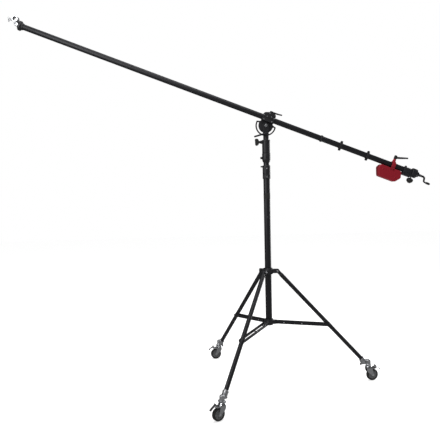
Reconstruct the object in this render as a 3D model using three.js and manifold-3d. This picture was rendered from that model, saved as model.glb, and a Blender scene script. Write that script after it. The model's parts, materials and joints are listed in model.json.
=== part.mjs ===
// Wheeled boom stand for studio lights, in millimetres, +Z up.
// A three-legged rolling base with braces, a telescopic column, a tilting head with a slotted
// quadrant, and a long boom with a red counterweight, a crank at its tail and a lamp socket at its tip.
import * as THREE from 'three';
import { mergeVertices } from 'three/addons/utils/BufferGeometryUtils.js';
import Module from 'manifold-3d';

const wasm = await Module();
wasm.setup();

// ---------------------------------------------------------------- driving dimensions
const GAP = 0.3; // gap between pieces that rest on each other
const PLAY = 0.6; // hole over pin, in radius
const ROUND = 20; // facets of a main round
const SMALL_ROUND = 8; // facets of a small round

const LETTERS = ['a', 'b', 'c'];
const LEG_AZIMUTHS = [-121.9, -1.9, 118.1]; // degrees about the column
const CASTER_TRAILS = [212, 8, 192]; // degrees, where each wheel trails

const LEG_PIVOT = { r: 64, z: 773 };
const LEG_FOOT = { r: 650, z: 133.2 };
const SOCKET_OVERLAP = 30; // the foot of the leg tube stands this deep in its socket
const LEG_RADIUS = 14;
const LEG_WALL = 1.5;
const BRACE_PIVOT = { r: 52, z: 424 };
const BRACE_JOIN = 0.59; // where the brace crosses the leg, as a fraction of the leg
const BRACE_GAP_HALF = 15.6; // the twin bars stand this far from the middle plane
const BRACE_BAR = { thick: 3, high: 20 };

const WHEEL = { radius: 40, half: 12.5 };
const CASTER = { radius: 679, trail: 27, plateZ: 86, cupTop: 103.5, barrelTop: 148 };

const COLUMN = { radius: 22, wall: 2, bottom: 409, top: 1436 };
const HUB = { bottom: 404, top: 446, radius: 31 };
const LOWER_LOCK = { bottom: 1398, top: 1489, radius: 26.2 };
const RISER_LOWER = { radius: 19.3, wall: 1.9, bottom: 480, top: 1525 };
const MIDDLE_LOCK = { bottom: 1508, top: 1569.7, radius: 28 };
const RISER_UPPER = { radius: 16.8, wall: 1.8, bottom: 540, top: 1581 };
const RECEIVER = { bottom: 1570, top: 1658, radius: 26.5, bore: 14.3 };

const TILT_PIVOT_Z = 1753.5;
const BOOM_TILT = 21.15; // degrees, tip up
const BOOM_OFFSET = 49; // boom axis above the tilt pivot
const BOOM = { radius: 18.5, wall: 1.9, tip: -1716, tail: 1060 };
const QUADRANT = { half: 4, disc: 47, slotMiddle: 54.5, slotHalf: 5.5, rim: 69 };
const CHEEK = { inner: 5.2, outer: 13.2, radius: 22, neck: 17 };
const CLAMP = { half: 42, width: 27, bottom: -24.6, top: 40 };

const RING_1_U = 383;
const CLAMP_RING_US = [523, 719];
const WEIGHT = { front: 811, back: 981, half: 30, bottom: -103, top: -22 };
const BRACKET_U = 906;
const REAR = { housing: 984, collar: 1044, end: 1081, bossEnd: 1096 };
const FLANGE = { front: -1735, rim: -1718, back: -1703, radius: 31 };
const ROD = { radius: 7, wall: 1.5, front: -1740.5, back: 1100 };
const LAMP_PIVOT_U = -1756;
const LAMP_RISE = 31; // socket centre above its pivot

const rad = THREE.MathUtils.degToRad;
const LEG_LENGTH = Math.hypot(LEG_FOOT.r - LEG_PIVOT.r, LEG_FOOT.z - LEG_PIVOT.z);
const LEG_SLOPE = Math.atan2(LEG_PIVOT.z - LEG_FOOT.z, LEG_FOOT.r - LEG_PIVOT.r);
const JOIN = {
  r: LEG_PIVOT.r + BRACE_JOIN * (LEG_FOOT.r - LEG_PIVOT.r),
  z: LEG_PIVOT.z + BRACE_JOIN * (LEG_FOOT.z - LEG_PIVOT.z),
};
const BRACE_LENGTH = Math.hypot(JOIN.r - BRACE_PIVOT.r, JOIN.z - BRACE_PIVOT.z);
const BRACE_SLOPE = Math.atan2(BRACE_PIVOT.z - JOIN.z, JOIN.r - BRACE_PIVOT.r);

// ---------------------------------------------------------------- materials
function finish(color, roughness, metalness) {
  return () => new THREE.MeshStandardMaterial({ color, roughness, metalness });
}
const blackPaint = finish(0x141416, 0.3, 0.3);
const blackCasting = finish(0x1b1c1e, 0.5, 0.3);
const blackPlastic = finish(0x121214, 0.5, 0.0);
const castSilver = finish(0xb4b7bb, 0.4, 0.9);
const chrome = finish(0xd2d4d8, 0.15, 1.0);
const redPaint = finish(0xa50f28, 0.4, 0.1);
const tyreRubber = finish(0x17181a, 0.8, 0.0);
const hubGrey = finish(0x6f7276, 0.5, 0.1);

// ---------------------------------------------------------------- solids
function toSolid(geometry) {
  const bare = geometry.clone();
  bare.deleteAttribute('normal');
  bare.deleteAttribute('uv');
  const merged = mergeVertices(bare, 1e-4);
  const index = merged.index.array;
  const triangles = [];
  for (let i = 0; i < index.length; i += 3) {
    const [a, b, c] = [index[i], index[i + 1], index[i + 2]];
    if (a !== b && b !== c && c !== a) triangles.push(a, b, c);
  }
  const mesh = new wasm.Mesh({
    numProp: 3,
    vertProperties: new Float32Array(merged.attributes.position.array),
    triVerts: new Uint32Array(triangles),
  });
  return new wasm.Manifold(mesh);
}

function toGeometry(solid) {
  const mesh = solid.getMesh();
  const geometry = new THREE.BufferGeometry();
  geometry.setAttribute('position', new THREE.BufferAttribute(new Float32Array(mesh.vertProperties), 3));
  geometry.setIndex(new THREE.BufferAttribute(new Uint32Array(mesh.triVerts), 1));
  geometry.computeVertexNormals();
  return geometry;
}

function join(first, ...others) {
  return others.reduce((sum, other) => sum.add(other), first);
}

function cut(body, ...tools) {
  return tools.reduce((left, tool) => left.subtract(tool), body);
}

// A box between two corners.
function block(x0, x1, y0, y1, z0, z1) {
  const geometry = new THREE.BoxGeometry(x1 - x0, y1 - y0, z1 - z0);
  geometry.translate((x0 + x1) / 2, (y0 + y1) / 2, (z0 + z1) / 2);
  return toSolid(geometry);
}

// A round bar between two points.
function bar(from, to, radius, facets = SMALL_ROUND, endRadius = radius) {
  const start = new THREE.Vector3(...from);
  const end = new THREE.Vector3(...to);
  const along = end.clone().sub(start);
  const geometry = new THREE.CylinderGeometry(endRadius, radius, along.length(), facets);
  const turn = new THREE.Quaternion().setFromUnitVectors(
    new THREE.Vector3(0, 1, 0), along.clone().normalize());
  geometry.applyQuaternion(turn);
  const middle = start.add(end).multiplyScalar(0.5);
  geometry.translate(middle.x, middle.y, middle.z);
  return toSolid(geometry);
}

// A turned piece about Z, from [radius, height] points that close on themselves or on the axis.
function turned(profile, facets = ROUND) {
  const first = profile[0];
  const last = profile[profile.length - 1];
  const onAxis = first[0] === 0 && last[0] === 0;
  const closed = onAxis ? profile : [...profile, first];
  const geometry = new THREE.LatheGeometry(closed.map(([r, z]) => new THREE.Vector2(r, z)), facets);
  geometry.rotateX(Math.PI / 2);
  return toSolid(geometry);
}

// The same turned piece laid along X, from [radius, x] points.
function turnedAlongX(profile, facets = ROUND) {
  const geometry = toGeometry(turned(profile, facets));
  geometry.rotateY(Math.PI / 2);
  return toSolid(geometry);
}

// The same turned piece laid along Y, from [radius, y] points.
function turnedAlongY(profile, facets = ROUND) {
  const geometry = toGeometry(turned(profile, facets));
  geometry.rotateX(-Math.PI / 2);
  return toSolid(geometry);
}

function pipe(radius, wall, bottom, top) {
  const inner = radius - wall;
  return [[radius, bottom], [radius, top], [inner, top], [inner, bottom]];
}

// A plate with an outline in the X-Z plane, between two Y values.
function plateXZ(shape, y0, y1, facets = 4) {
  const geometry = new THREE.ExtrudeGeometry(
    shape, { depth: y1 - y0, bevelEnabled: false, curveSegments: facets });
  geometry.rotateX(Math.PI / 2);
  geometry.translate(0, y1, 0);
  return toSolid(geometry);
}

// A block with an outline in the Y-Z plane, between two X values.
function plateYZ(shape, x0, x1, facets = 4) {
  const geometry = new THREE.ExtrudeGeometry(
    shape, { depth: x1 - x0, bevelEnabled: false, curveSegments: facets });
  geometry.rotateZ(Math.PI / 2);
  geometry.rotateY(Math.PI / 2);
  geometry.translate(x0, 0, 0);
  return toSolid(geometry);
}

function outline(points) {
  return new THREE.Shape(points.map(([x, z]) => new THREE.Vector2(x, z)));
}

// The outline of a link with two round ends, from one centre to another.
function link(from, to, radius, endRadius = radius) {
  const [x0, z0] = from;
  const [x1, z1] = to;
  const lean = Math.atan2(z1 - z0, x1 - x0);
  const spread = Math.acos((radius - endRadius) / Math.hypot(x1 - x0, z1 - z0));
  const shape = new THREE.Shape();
  shape.absarc(x0, z0, radius, lean + spread, lean - spread + 2 * Math.PI, false);
  shape.absarc(x1, z1, endRadius, lean - spread, lean + spread, false);
  shape.closePath();
  return shape;
}

function turnedAboutZ(solid, degrees) {
  const geometry = toGeometry(solid);
  geometry.rotateZ(rad(degrees));
  return toSolid(geometry);
}

function piece(parent, name, solid, material) {
  const mesh = new THREE.Mesh(toGeometry(solid), material());
  mesh.name = name;
  parent.add(mesh);
}

function group(parent, x = 0, y = 0, z = 0) {
  const holder = new THREE.Group();
  holder.position.set(x, y, z);
  parent.add(holder);
  return holder;
}

// ---------------------------------------------------------------- column
// The column and its two risers are plain drawn tubes that slide in each other.
function columnStage({ radius, wall, bottom, top }) {
  return turned(pipe(radius, wall, bottom, top));
}

function lugArms(make) {
  return join(...LEG_AZIMUTHS.map((azimuth) => turnedAboutZ(make(), azimuth)));
}

function braceHub() {
  const { bottom, top, radius } = HUB;
  const pocket = COLUMN.radius + GAP;
  const cup = turned([
    [0, bottom], [radius - 3, bottom], [radius, bottom + 3], [radius, top],
    [pocket, top], [pocket, COLUMN.bottom - GAP], [0, COLUMN.bottom - GAP],
  ]);
  const lug = () => {
    const { r, z } = BRACE_PIVOT;
    const arm = plateXZ(link([24.5, z], [r, z], 13), -13, 13);
    const pin = bar([r, -21.5, z], [r, 21.5, z], 4.2);
    return join(arm, pin);
  };
  const bore = turned([[0, COLUMN.bottom - GAP], [pocket, COLUMN.bottom - GAP], [pocket, top + 9], [0, top + 9]]);
  return cut(join(cup, lugArms(lug)), bore);
}

function lowerLockCollar() {
  const { bottom, top, radius } = LOWER_LOCK;
  const seat = COLUMN.radius + GAP;
  const bore = RISER_LOWER.radius + GAP;
  const body = turned([
    [radius - 1.5, bottom], [radius, bottom + 2], [radius, top - 3], [radius - 3, top],
    [bore, top], [bore, COLUMN.top + GAP], [seat, COLUMN.top + GAP], [seat, bottom],
  ]);
  const boss = bar([-22, 0, top - 9], [-29, 0, top - 9], 6);
  const riserWay = bar([0, 0, COLUMN.top], [0, 0, top + 1], bore, ROUND);
  const thread = bar([-10, 0, top - 9], [-40, 0, top - 9], 3 + PLAY);
  return cut(join(body, boss), riserWay, thread);
}

function lowerLockKnob() {
  const z = LOWER_LOCK.top - 9;
  const stem = bar([-20.3, 0, z], [-33, 0, z], 3);
  const grip = turnedKnobAlongX([[0, -30], [4, -30], [5, -32], [5, -37], [3.5, -39], [0, -39]], z);
  return join(stem, grip);
}

// A knob turned about an X line at height z, from [radius, x] points.
function turnedKnobAlongX(profile, z, facets = SMALL_ROUND) {
  const geometry = toGeometry(turnedAlongX(profile.slice().reverse(), facets));
  geometry.translate(0, 0, z);
  return toSolid(geometry);
}

function middleLockCollar() {
  const { bottom, top, radius } = MIDDLE_LOCK;
  const seat = RISER_LOWER.radius + GAP;
  const bore = RISER_UPPER.radius + GAP;
  const ledge = RISER_LOWER.top + GAP;
  const body = turned([
    [radius - 6, bottom], [radius, bottom + 20], [radius, top - 2], [radius - 2, top],
    [bore, top], [bore, ledge], [seat, ledge], [seat, bottom],
  ]);
  const bossZ = bottom + 30;
  const boss = bar([-24, 0, bossZ], [-31, 0, bossZ], 9);
  const riserWay = bar([0, 0, ledge - 1], [0, 0, top + 1], bore, ROUND);
  const lowerWay = bar([0, 0, bottom - 1], [0, 0, ledge], seat, ROUND);
  const thread = bar([-8, 0, bossZ], [-40, 0, bossZ], 3.5 + PLAY);
  return cut(join(body, boss), riserWay, lowerWay, thread);
}

function middleLockKnob() {
  const z = MIDDLE_LOCK.bottom + 30;
  const stem = bar([-17.5, 0, z], [-34, 0, z], 3.5);
  const grip = turnedKnobAlongX([[0, -32], [6, -32], [8, -34], [8, -38], [6, -40], [0, -40]], z);
  return join(stem, grip);
}

function topReceiver() {
  const { bottom, top, radius, bore } = RECEIVER;
  const seat = RISER_UPPER.radius + GAP;
  const floor = RISER_UPPER.top + GAP;
  const body = turned([
    [0, floor], [seat, floor], [seat, bottom], [radius - 2, bottom], [radius, bottom + 2],
    [radius, top - 3], [radius - 2, top], [bore, top], [bore, top - 70], [0, top - 70],
  ]);
  const bossZ = top - 14;
  const boss = bar([-22, 0, bossZ], [-38, 0, bossZ], 11);
  const spigotWay = bar([0, 0, top - 70], [0, 0, top + 1], bore, ROUND);
  const thread = bar([-10, 0, bossZ], [-45, 0, bossZ], 4 + PLAY);
  return cut(join(body, boss), spigotWay, thread);
}

function receiverKnob() {
  const z = RECEIVER.top - 14;
  const stem = bar([-15.5, 0, z], [-50, 0, z], 4);
  const collar = bar([-39, 0, z], [-50, 0, z], 8);
  const wings = plateXZ(outline([
    [-46, z - 9], [-46, z + 9], [-51, z + 23], [-69, z + 25], [-74, z + 20],
    [-71, z - 20], [-66, z - 25], [-51, z - 22],
  ]), -7, 7);
  return join(collar, wings, stem);
}

// ---------------------------------------------------------------- legs
function legCollar() {
  const { r, z } = LEG_PIVOT;
  const bore = COLUMN.radius + 0.8;
  const bottom = z - 20;
  const top = z + 22;
  const ring = turned([[32, bottom], [32, top - 3], [29, top], [bore, top], [bore, bottom]]);
  const arm = () => {
    const cheek = (y0, y1) => plateXZ(link([28, z], [r, z], 14), y0, y1);
    const web = block(22, 38, -15, 15, z - 14, z + 14);
    const pin = bar([r, -18.5, z], [r, 18.5, z], 4.2);
    return join(cheek(-15, -9), cheek(9, 15), web, pin);
  };
  const boss = bar([-26, 0, z + 6], [-42, 0, z + 6], 10);
  const thread = bar([-15, 0, z + 6], [-50, 0, z + 6], 4 + PLAY);
  const way = bar([0, 0, bottom - 1], [0, 0, top + 1], bore, ROUND);
  return cut(join(ring, lugArms(arm), boss), thread, way);
}

function collarKnob() {
  const z = LEG_PIVOT.z + 6;
  const stem = bar([-24, 0, z], [-46, 0, z], 4);
  const grip = turnedKnobAlongX(
    [[0, -43], [9, -43], [15, -46], [15, -58], [12, -61], [0, -61]], z, 12);
  return join(stem, grip);
}

// The leg lies along +X of its own frame, from the pivot.
function legTube() {
  const plugStart = 34;
  const plugEnd = 52;
  const inner = LEG_RADIUS - LEG_WALL;
  const tube = turnedAlongX([
    [0, plugStart], [LEG_RADIUS, plugStart], [LEG_RADIUS, LEG_LENGTH], [inner, LEG_LENGTH],
    [inner, plugEnd], [0, plugEnd],
  ]);
  const tongue = plateXZ(link([0, 0], [44, 0], 12), -8.4, 8.4);
  const pinHole = bar([0, -20, 0], [0, 20, 0], 4.2 + PLAY);
  return cut(join(tube, tongue), pinHole);
}

// The brace lies along +X of its own frame, from its hub pivot: two flat bars and two spacers.
function brace() {
  const halfHigh = BRACE_BAR.high / 2;
  const inner = BRACE_GAP_HALF;
  const outer = inner + BRACE_BAR.thick;
  const barShape = () => link([0, 0], [BRACE_LENGTH, 0], halfHigh);
  const bars = join(plateXZ(barShape(), -outer, -inner), plateXZ(barShape(), inner, outer));
  const spacers = [48, 170].map((u) => bar([u, -inner - 1, 0], [u, inner + 1, 0], 5));
  const pinHole = bar([0, -25, 0], [0, 25, 0], 4.2 + PLAY);
  return cut(join(bars, ...spacers), pinHole);
}

// Cast elbow at the foot of a leg, in the frame whose +X points outward and Z is up.
function casterSocket() {
  const at = (s) => [
    LEG_PIVOT.r + s * Math.cos(LEG_SLOPE), 0, LEG_PIVOT.z - s * Math.sin(LEG_SLOPE)];
  const lip = LEG_LENGTH - SOCKET_OVERLAP;
  const sleeve = bar(at(lip), at(LEG_LENGTH + 16), 19, ROUND);
  const bore = bar(at(lip - 10), at(LEG_LENGTH + GAP), LEG_RADIUS + GAP, ROUND);
  const barrelBottom = CASTER.cupTop + GAP;
  const barrel = bar([CASTER.radius, 0, barrelBottom], [CASTER.radius, 0, CASTER.barrelTop], 18, ROUND, 15);
  const stemWay = bar([CASTER.radius, 0, barrelBottom - 1], [CASTER.radius, 0, 134], 6 + PLAY);
  const side = at(LEG_LENGTH - 2);
  const screw = bar([side[0] - 8, 0, side[2] - 9], [side[0] - 21, 0, side[2] - 23], 6);
  return cut(join(sleeve, barrel, screw), bore, stemWay);
}

// ---------------------------------------------------------------- casters
// Each caster has +X along its trail, with the swivel axis at the origin.
function forkCheekShape() {
  const axle = CASTER.trail;
  const top = CASTER.plateZ;
  const shape = new THREE.Shape();
  shape.moveTo(-15, top + 3);
  shape.lineTo(-13, top - 14);
  shape.lineTo(axle - 10, WHEEL.radius - 4);
  shape.absarc(axle, WHEEL.radius, 11, Math.PI * 1.15, Math.PI * 1.95, false);
  shape.lineTo(axle + 9, WHEEL.radius + 22);
  shape.lineTo(46, top - 6);
  shape.lineTo(46, top + 3);
  shape.closePath();
  return shape;
}

const PEDAL_PIVOT = { x: 53, z: 91 };

function casterFork() {
  const { trail, plateZ, cupTop } = CASTER;
  const cheeks = [[-17.5, -14.5], [14.5, 17.5]].map(([y0, y1]) => plateXZ(forkCheekShape(), y0, y1));
  const plate = block(-15, 46, -17.5, 17.5, plateZ, plateZ + 3);
  const cup = turned([
    [0, plateZ + 1], [24, plateZ + 1], [24, plateZ + 8], [20, cupTop - 3], [20, cupTop], [0, cupTop],
  ]);
  const ears = [-20, 20].map((y) => bar([0, y, plateZ + 2], [0, y, plateZ + 12], 8));
  const stem = bar([0, 0, cupTop - 1], [0, 0, 132], 6);
  const axle = bar([trail, -21, WHEEL.radius], [trail, 21, WHEEL.radius], 4.5);
  const nuts = [[-21, -17], [17, 21]].map(
    ([y0, y1]) => bar([trail, y0, WHEEL.radius], [trail, y1, WHEEL.radius], 8, 6));
  const pivot = PEDAL_PIVOT;
  const hingeEars = [[-13, -10], [10, 13]].map(
    ([y0, y1]) => plateXZ(link([42, plateZ + 3], [pivot.x, pivot.z], 5), y0, y1));
  const pin = bar([pivot.x, -13, pivot.z], [pivot.x, 13, pivot.z], 2.5);
  return join(plate, ...cheeks, cup, ...ears, stem, axle, ...nuts, ...hingeEars, pin);
}

function brakePedal() {
  const { x, z } = PEDAL_PIVOT;
  const lever = plateXZ(outline([
    [x - 4, z + 5], [x - 6, z + 13], [x - 1, z + 15], [x + 4, z + 6], [x + 14, z - 1],
    [x + 30, z - 14], [x + 31, z - 20], [x + 26, z - 20], [x + 10, z - 8], [x + 1, z - 6],
    [x - 5, z - 3],
  ]), -9.6, 9.6);
  const hole = bar([x, -14, z], [x, 14, z], 2.5 + PLAY);
  return cut(lever, hole);
}

function wheelTyre() {
  const { radius, half } = WHEEL;
  return turnedAlongY([
    [28.3, 2 - half], [36, -half], [radius, 6 - half], [radius, half - 6], [36, half],
    [28.3, half - 2],
  ], 24);
}

function wheelHub() {
  return turnedAlongY([
    [5.1, -14], [10, -14], [10, -9], [27.5, -9], [27.5, 9], [10, 9], [10, 14], [5.1, 14],
  ], 14);
}

// ---------------------------------------------------------------- head
// The head's frame has the tilt pivot at its origin.
function headYoke() {
  const foot = RECEIVER.top - TILT_PIVOT_Z;
  const { inner, outer, radius, neck } = CHEEK;
  const spigot = bar([0, 0, foot - 66], [0, 0, foot + 4], 14, ROUND);
  const washer = bar([0, 0, foot + GAP], [0, 0, foot + 7], 18, ROUND);
  const stem = bar([0, 0, foot + 4], [0, 0, -72.5], 16, ROUND);
  const cheek = (y0, y1) => join(
    plateXZ(link([0, 0], [0, -70], radius, neck), y0, y1),
    block(-neck, neck, y0, y1, -88, -70));
  const bridge = block(-neck, neck, -outer, outer, -88, -73);
  const boltHole = bar([0, -20, 0], [0, 20, 0], 6 + PLAY);
  const lockHole = bar([0, -20, -QUADRANT.slotMiddle], [0, 20, -QUADRANT.slotMiddle], 4.5 + PLAY);
  const body = join(spigot, washer, stem, bridge, cheek(-outer, -inner), cheek(inner, outer));
  return cut(body, boltHole, lockHole);
}

function tiltBolt() {
  const { outer } = CHEEK;
  const shank = bar([0, -outer - 2, 0], [0, outer + 2, 0], 6);
  const head = bar([0, -outer - 8, 0], [0, -outer - GAP, 0], 10, ROUND);
  const nut = bar([0, outer + GAP, 0], [0, outer + 8, 0], 10, 6);
  return join(head, shank, nut);
}

function tiltLockLever() {
  const { outer } = CHEEK;
  const z = -QUADRANT.slotMiddle;
  const stud = bar([0, -outer - 3, z], [0, outer + 6, z], 4.5);
  const hub = bar([0, -outer - 14, z], [0, -outer - GAP, z], 10, 12);
  const nut = bar([0, outer + GAP, z], [0, outer + 7, z], 8, 6);
  const arm = plateXZ(link([-4, z - 1], [-78, z - 19], 6.5, 5), -outer - 13, -outer - 6);
  return join(hub, stud, nut, arm);
}

// The boom's frame has +X from tip to tail; the tilt pivot is at its origin.
function tiltQuadrant() {
  const { half, disc, slotMiddle, slotHalf, rim } = QUADRANT;
  const lift = rad(9);
  const shape = new THREE.Shape();
  shape.absarc(0, 0, rim, Math.PI - lift, 2 * Math.PI + lift, false);
  shape.lineTo(disc - 1, 17);
  shape.lineTo(40, BOOM_OFFSET + CLAMP.bottom - GAP);
  shape.lineTo(-40, BOOM_OFFSET + CLAMP.bottom - GAP);
  shape.lineTo(1 - disc, 17);
  shape.closePath();
  const slot = new THREE.Path();
  const inside = slotMiddle - slotHalf;
  const outside = slotMiddle + slotHalf;
  slot.absarc(0, 0, outside, Math.PI, 2 * Math.PI, false);
  slot.absarc(slotMiddle, 0, slotHalf, 0, Math.PI, false);
  slot.absarc(0, 0, inside, 2 * Math.PI, Math.PI, true);
  slot.absarc(-slotMiddle, 0, slotHalf, 0, Math.PI, false);
  shape.holes.push(slot);
  const plate = plateXZ(shape, -half, half, 8);
  return cut(plate, bar([0, -10, 0], [0, 10, 0], 6 + PLAY));
}

function boomWay(radius, from, to) {
  return bar([from, 0, BOOM_OFFSET], [to, 0, BOOM_OFFSET], radius, ROUND);
}

function boomClamp() {
  const { half, width, bottom } = CLAMP;
  const body = block(-half, half, -width, width, BOOM_OFFSET + bottom, BOOM_OFFSET - 0.4);
  return cut(body, boomWay(BOOM.radius + GAP, -half - 5, half + 5));
}

function clampCap() {
  const { half, width, top } = CLAMP;
  const base = BOOM_OFFSET;
  const body = plateXZ(outline([
    [-half, base + 0.4], [half, base + 0.4], [half, base + 30], [half - 8, base + top - 2],
    [20, base + top], [-12, base + top], [-half + 8, base + 32], [-half, base + 24],
  ]), -width, width);
  const screwHole = bar([6, 0, base + BOOM.radius + 4], [6, 0, base + top + 5], 5 + PLAY);
  return cut(body, boomWay(BOOM.radius + GAP, -half - 5, half + 5), screwHole);
}

function boomClampLever() {
  const top = BOOM_OFFSET + CLAMP.top;
  const screw = bar([6, 0, top - 14], [6, 0, top + 5], 5);
  const hub = bar([6, 0, top + GAP], [6, 0, top + 14], 12, 12, 10);
  const arm = plateXZ(link([8, top + 8], [78, top + 15], 6, 4.5), -5, 5);
  return join(hub, screw, arm);
}

// ---------------------------------------------------------------- boom
// These pieces are turned about the boom's axis and lifted to it by their group.
function boomTube() {
  return turnedAlongX(pipe(BOOM.radius, BOOM.wall, BOOM.tip, BOOM.tail));
}

function boomRing(u) {
  return turnedAlongX([
    [21, u - 7], [22.5, u - 5], [22.5, u + 5], [21, u + 7],
    [BOOM.radius + GAP, u + 7], [BOOM.radius + GAP, u - 7],
  ]);
}

function clampRing(u) {
  const half = 9;
  const bore = bar([u - 20, 0, 0], [u + 20, 0, 0], BOOM.radius + GAP, ROUND);
  const ring = bar([u - half, 0, 0], [u + half, 0, 0], 23, ROUND);
  const lugs = block(u - half, u + half, -8, 8, -33, 33);
  return cut(join(ring, lugs), bore);
}

function tipFlange() {
  const { front, rim, back, radius } = FLANGE;
  const rodBore = ROD.radius + GAP;
  const seat = BOOM.radius + GAP;
  return turnedAlongX([
    [radius - 3, front], [radius, front + 3], [radius, rim], [seat + 2.5, back], [seat, back],
    [seat, BOOM.tip - GAP], [rodBore, BOOM.tip - GAP], [rodBore, front],
  ]);
}

function rearHousing() {
  const { housing, collar } = REAR;
  const body = plateYZ(link([0, 0], [0, -20], 22, 19), housing, collar - GAP);
  const boss = bar([housing + 12, 0, 15], [housing + 12, 0, 29], 7);
  const bore = bar([housing - 5, 0, 0], [collar + 5, 0, 0], BOOM.radius + GAP, ROUND);
  return cut(join(body, boss), bore);
}

const REAR_KNOB_U = REAR.collar + 9;

function rearCollar() {
  const { collar, end, bossEnd } = REAR;
  const rodBore = ROD.radius + GAP;
  const seat = BOOM.radius + GAP;
  const body = turnedAlongX([
    [28, collar], [31, collar + 3], [31, end - 3], [28, end], [18.5, end], [18.5, bossEnd],
    [rodBore, bossEnd], [rodBore, BOOM.tail + GAP], [seat, BOOM.tail + GAP], [seat, collar],
  ]);
  const thread = bar([REAR_KNOB_U, 0, -18], [REAR_KNOB_U, 0, -40], 4 + PLAY);
  return cut(body, thread);
}

function rearKnob() {
  const geometry = toGeometry(turned([
    [0, -74], [9, -73], [22, -60], [22.5, -47], [14, -40], [8.5, -39.5], [8.5, -34], [0, -34],
  ], 12));
  geometry.translate(REAR_KNOB_U, 0, 0);
  const stem = bar([REAR_KNOB_U, 0, -20.5], [REAR_KNOB_U, 0, -42], 4);
  return join(toSolid(geometry), stem);
}

function controlRod() {
  return turnedAlongX(pipe(ROD.radius, ROD.wall, ROD.front, ROD.back), 10);
}

const CRANK = { start: ROD.back + GAP, arm: 1139, drop: 33, grip: 1163, end: 1197 };

function crank() {
  const { start, arm, drop, grip, end } = CRANK;
  const shaft = bar([start, 0, 0], [arm + 4, 0, 0], 8.5, 10);
  const web = plateXZ(link([arm, 0], [grip - 10, -drop], 8.5, 7), -5, 5);
  const pin = bar([grip - 10, 0, -drop], [end, 0, -drop], 4);
  const shoulder = bar([grip - 10, 0, -drop], [grip - GAP, 0, -drop], 5.5);
  return join(shaft, web, pin, shoulder);
}

function crankGrip() {
  const { grip, end, drop } = CRANK;
  const geometry = toGeometry(turnedAlongX([
    [6, grip], [7.5, grip + 4], [7.5, end - 6], [6, end - 2], [4.4, end - 2], [4.4, grip],
  ], 10));
  geometry.translate(0, 0, -drop);
  return toSolid(geometry);
}

function tipYoke() {
  const front = ROD.front - GAP;
  const neck = bar([front, 0, 0], [LAMP_PIVOT_U + 9, 0, 0], 9.5, 12);
  const cheeks = [[-14.5, -8.3], [8.3, 14.5]].map(
    ([y0, y1]) => plateXZ(link([LAMP_PIVOT_U, 0], [front - 4, 0], 9, 9), y0, y1));
  const bridge = block(front - 5, front - 1, -14.5, 14.5, -9, 9);
  const way = block(LAMP_PIVOT_U - 20, LAMP_PIVOT_U + 11.5, -8.3, 8.3, -20, 20);
  const pin = bar([LAMP_PIVOT_U, -17, 0], [LAMP_PIVOT_U, 17, 0], 4);
  return join(cut(join(neck, ...cheeks, bridge), way), pin);
}

// The lamp socket's frame has its pivot at the origin and stands plumb.
function lampSocket() {
  const barrel = bar([0, -20, LAMP_RISE], [0, 20, LAMP_RISE], 21, ROUND);
  const tongue = plateXZ(link([0, 0], [0, LAMP_RISE - 15], 9, 9), -7.7, 7.7);
  const boss = bar([-18, 0, LAMP_RISE], [-27, 0, LAMP_RISE], 8);
  const bore = bar([0, -25, LAMP_RISE], [0, 25, LAMP_RISE], 14.3, ROUND);
  const thread = bar([-10, 0, LAMP_RISE], [-35, 0, LAMP_RISE], 4 + PLAY);
  const pinHole = bar([0, -20, 0], [0, 20, 0], 4 + PLAY);
  return cut(join(barrel, tongue, boss), bore, thread, pinHole);
}

function lampSocketScrew() {
  const z = LAMP_RISE;
  const stem = bar([-14.8, 0, z], [-44, 0, z], 4);
  const collar = bar([-30, 0, z], [-42, 0, z], 6.5);
  const wings = bar([-43, 0, z - 15], [-43, 0, z + 15], 5);
  return join(stem, collar, wings);
}

// ---------------------------------------------------------------- counterweight
function counterweight() {
  const { front, back, half, bottom, top } = WEIGHT;
  const side = outline([
    [front + 12, top], [front, top - 22], [front, top - 28], [front + 18, bottom + 4],
    [front + 26, bottom], [back - 33, bottom], [back - 27, bottom + 3], [back, top - 45],
    [back - 9, top - 8], [back - 16, top],
  ]);
  const body = plateXZ(side, -half, half);
  const sleeveWay = bar([BRACKET_U + 36, 0, 0], [back + 5, 0, 0], 26, ROUND);
  const strapWay = block(BRACKET_U - 14, BRACKET_U + 14, -half - 1, half + 1, top - 16, top + 1);
  const middle = block(BRACKET_U - 15, BRACKET_U + 15, GAP - 21, 21 - GAP, top - 16, top + 1);
  return cut(body, sleeveWay, strapWay.subtract(middle));
}

function weightBracket() {
  const inner = 21;
  const outer = 27;
  const half = 13;
  const foot = WEIGHT.top - 15;
  const arch = new THREE.Shape();
  arch.moveTo(-outer, foot);
  arch.lineTo(-inner, foot);
  arch.lineTo(-inner, 0);
  arch.absarc(0, 0, inner, Math.PI, 0, true);
  arch.lineTo(inner, foot);
  arch.lineTo(outer, foot);
  arch.lineTo(outer, 0);
  arch.absarc(0, 0, outer, 0, Math.PI, false);
  arch.closePath();
  const strap = plateYZ(arch, BRACKET_U - half, BRACKET_U + half, 6);
  const boss = bar([BRACKET_U, 0, 23], [BRACKET_U, 0, 44], 10);
  const thread = bar([BRACKET_U, 0, 15], [BRACKET_U, 0, 60], 4 + PLAY);
  return cut(join(strap, boss), thread);
}

function weightLever() {
  const stem = bar([BRACKET_U, 0, 20], [BRACKET_U, 0, 50], 4);
  const hub = bar([BRACKET_U, 0, 44 + GAP], [BRACKET_U, 0, 70], 9, 12, 10);
  const arm = plateXZ(link([BRACKET_U + 4, 55], [BRACKET_U + 78, 79], 8, 4.5), -5, 5);
  return join(hub, stem, arm);
}

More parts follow.
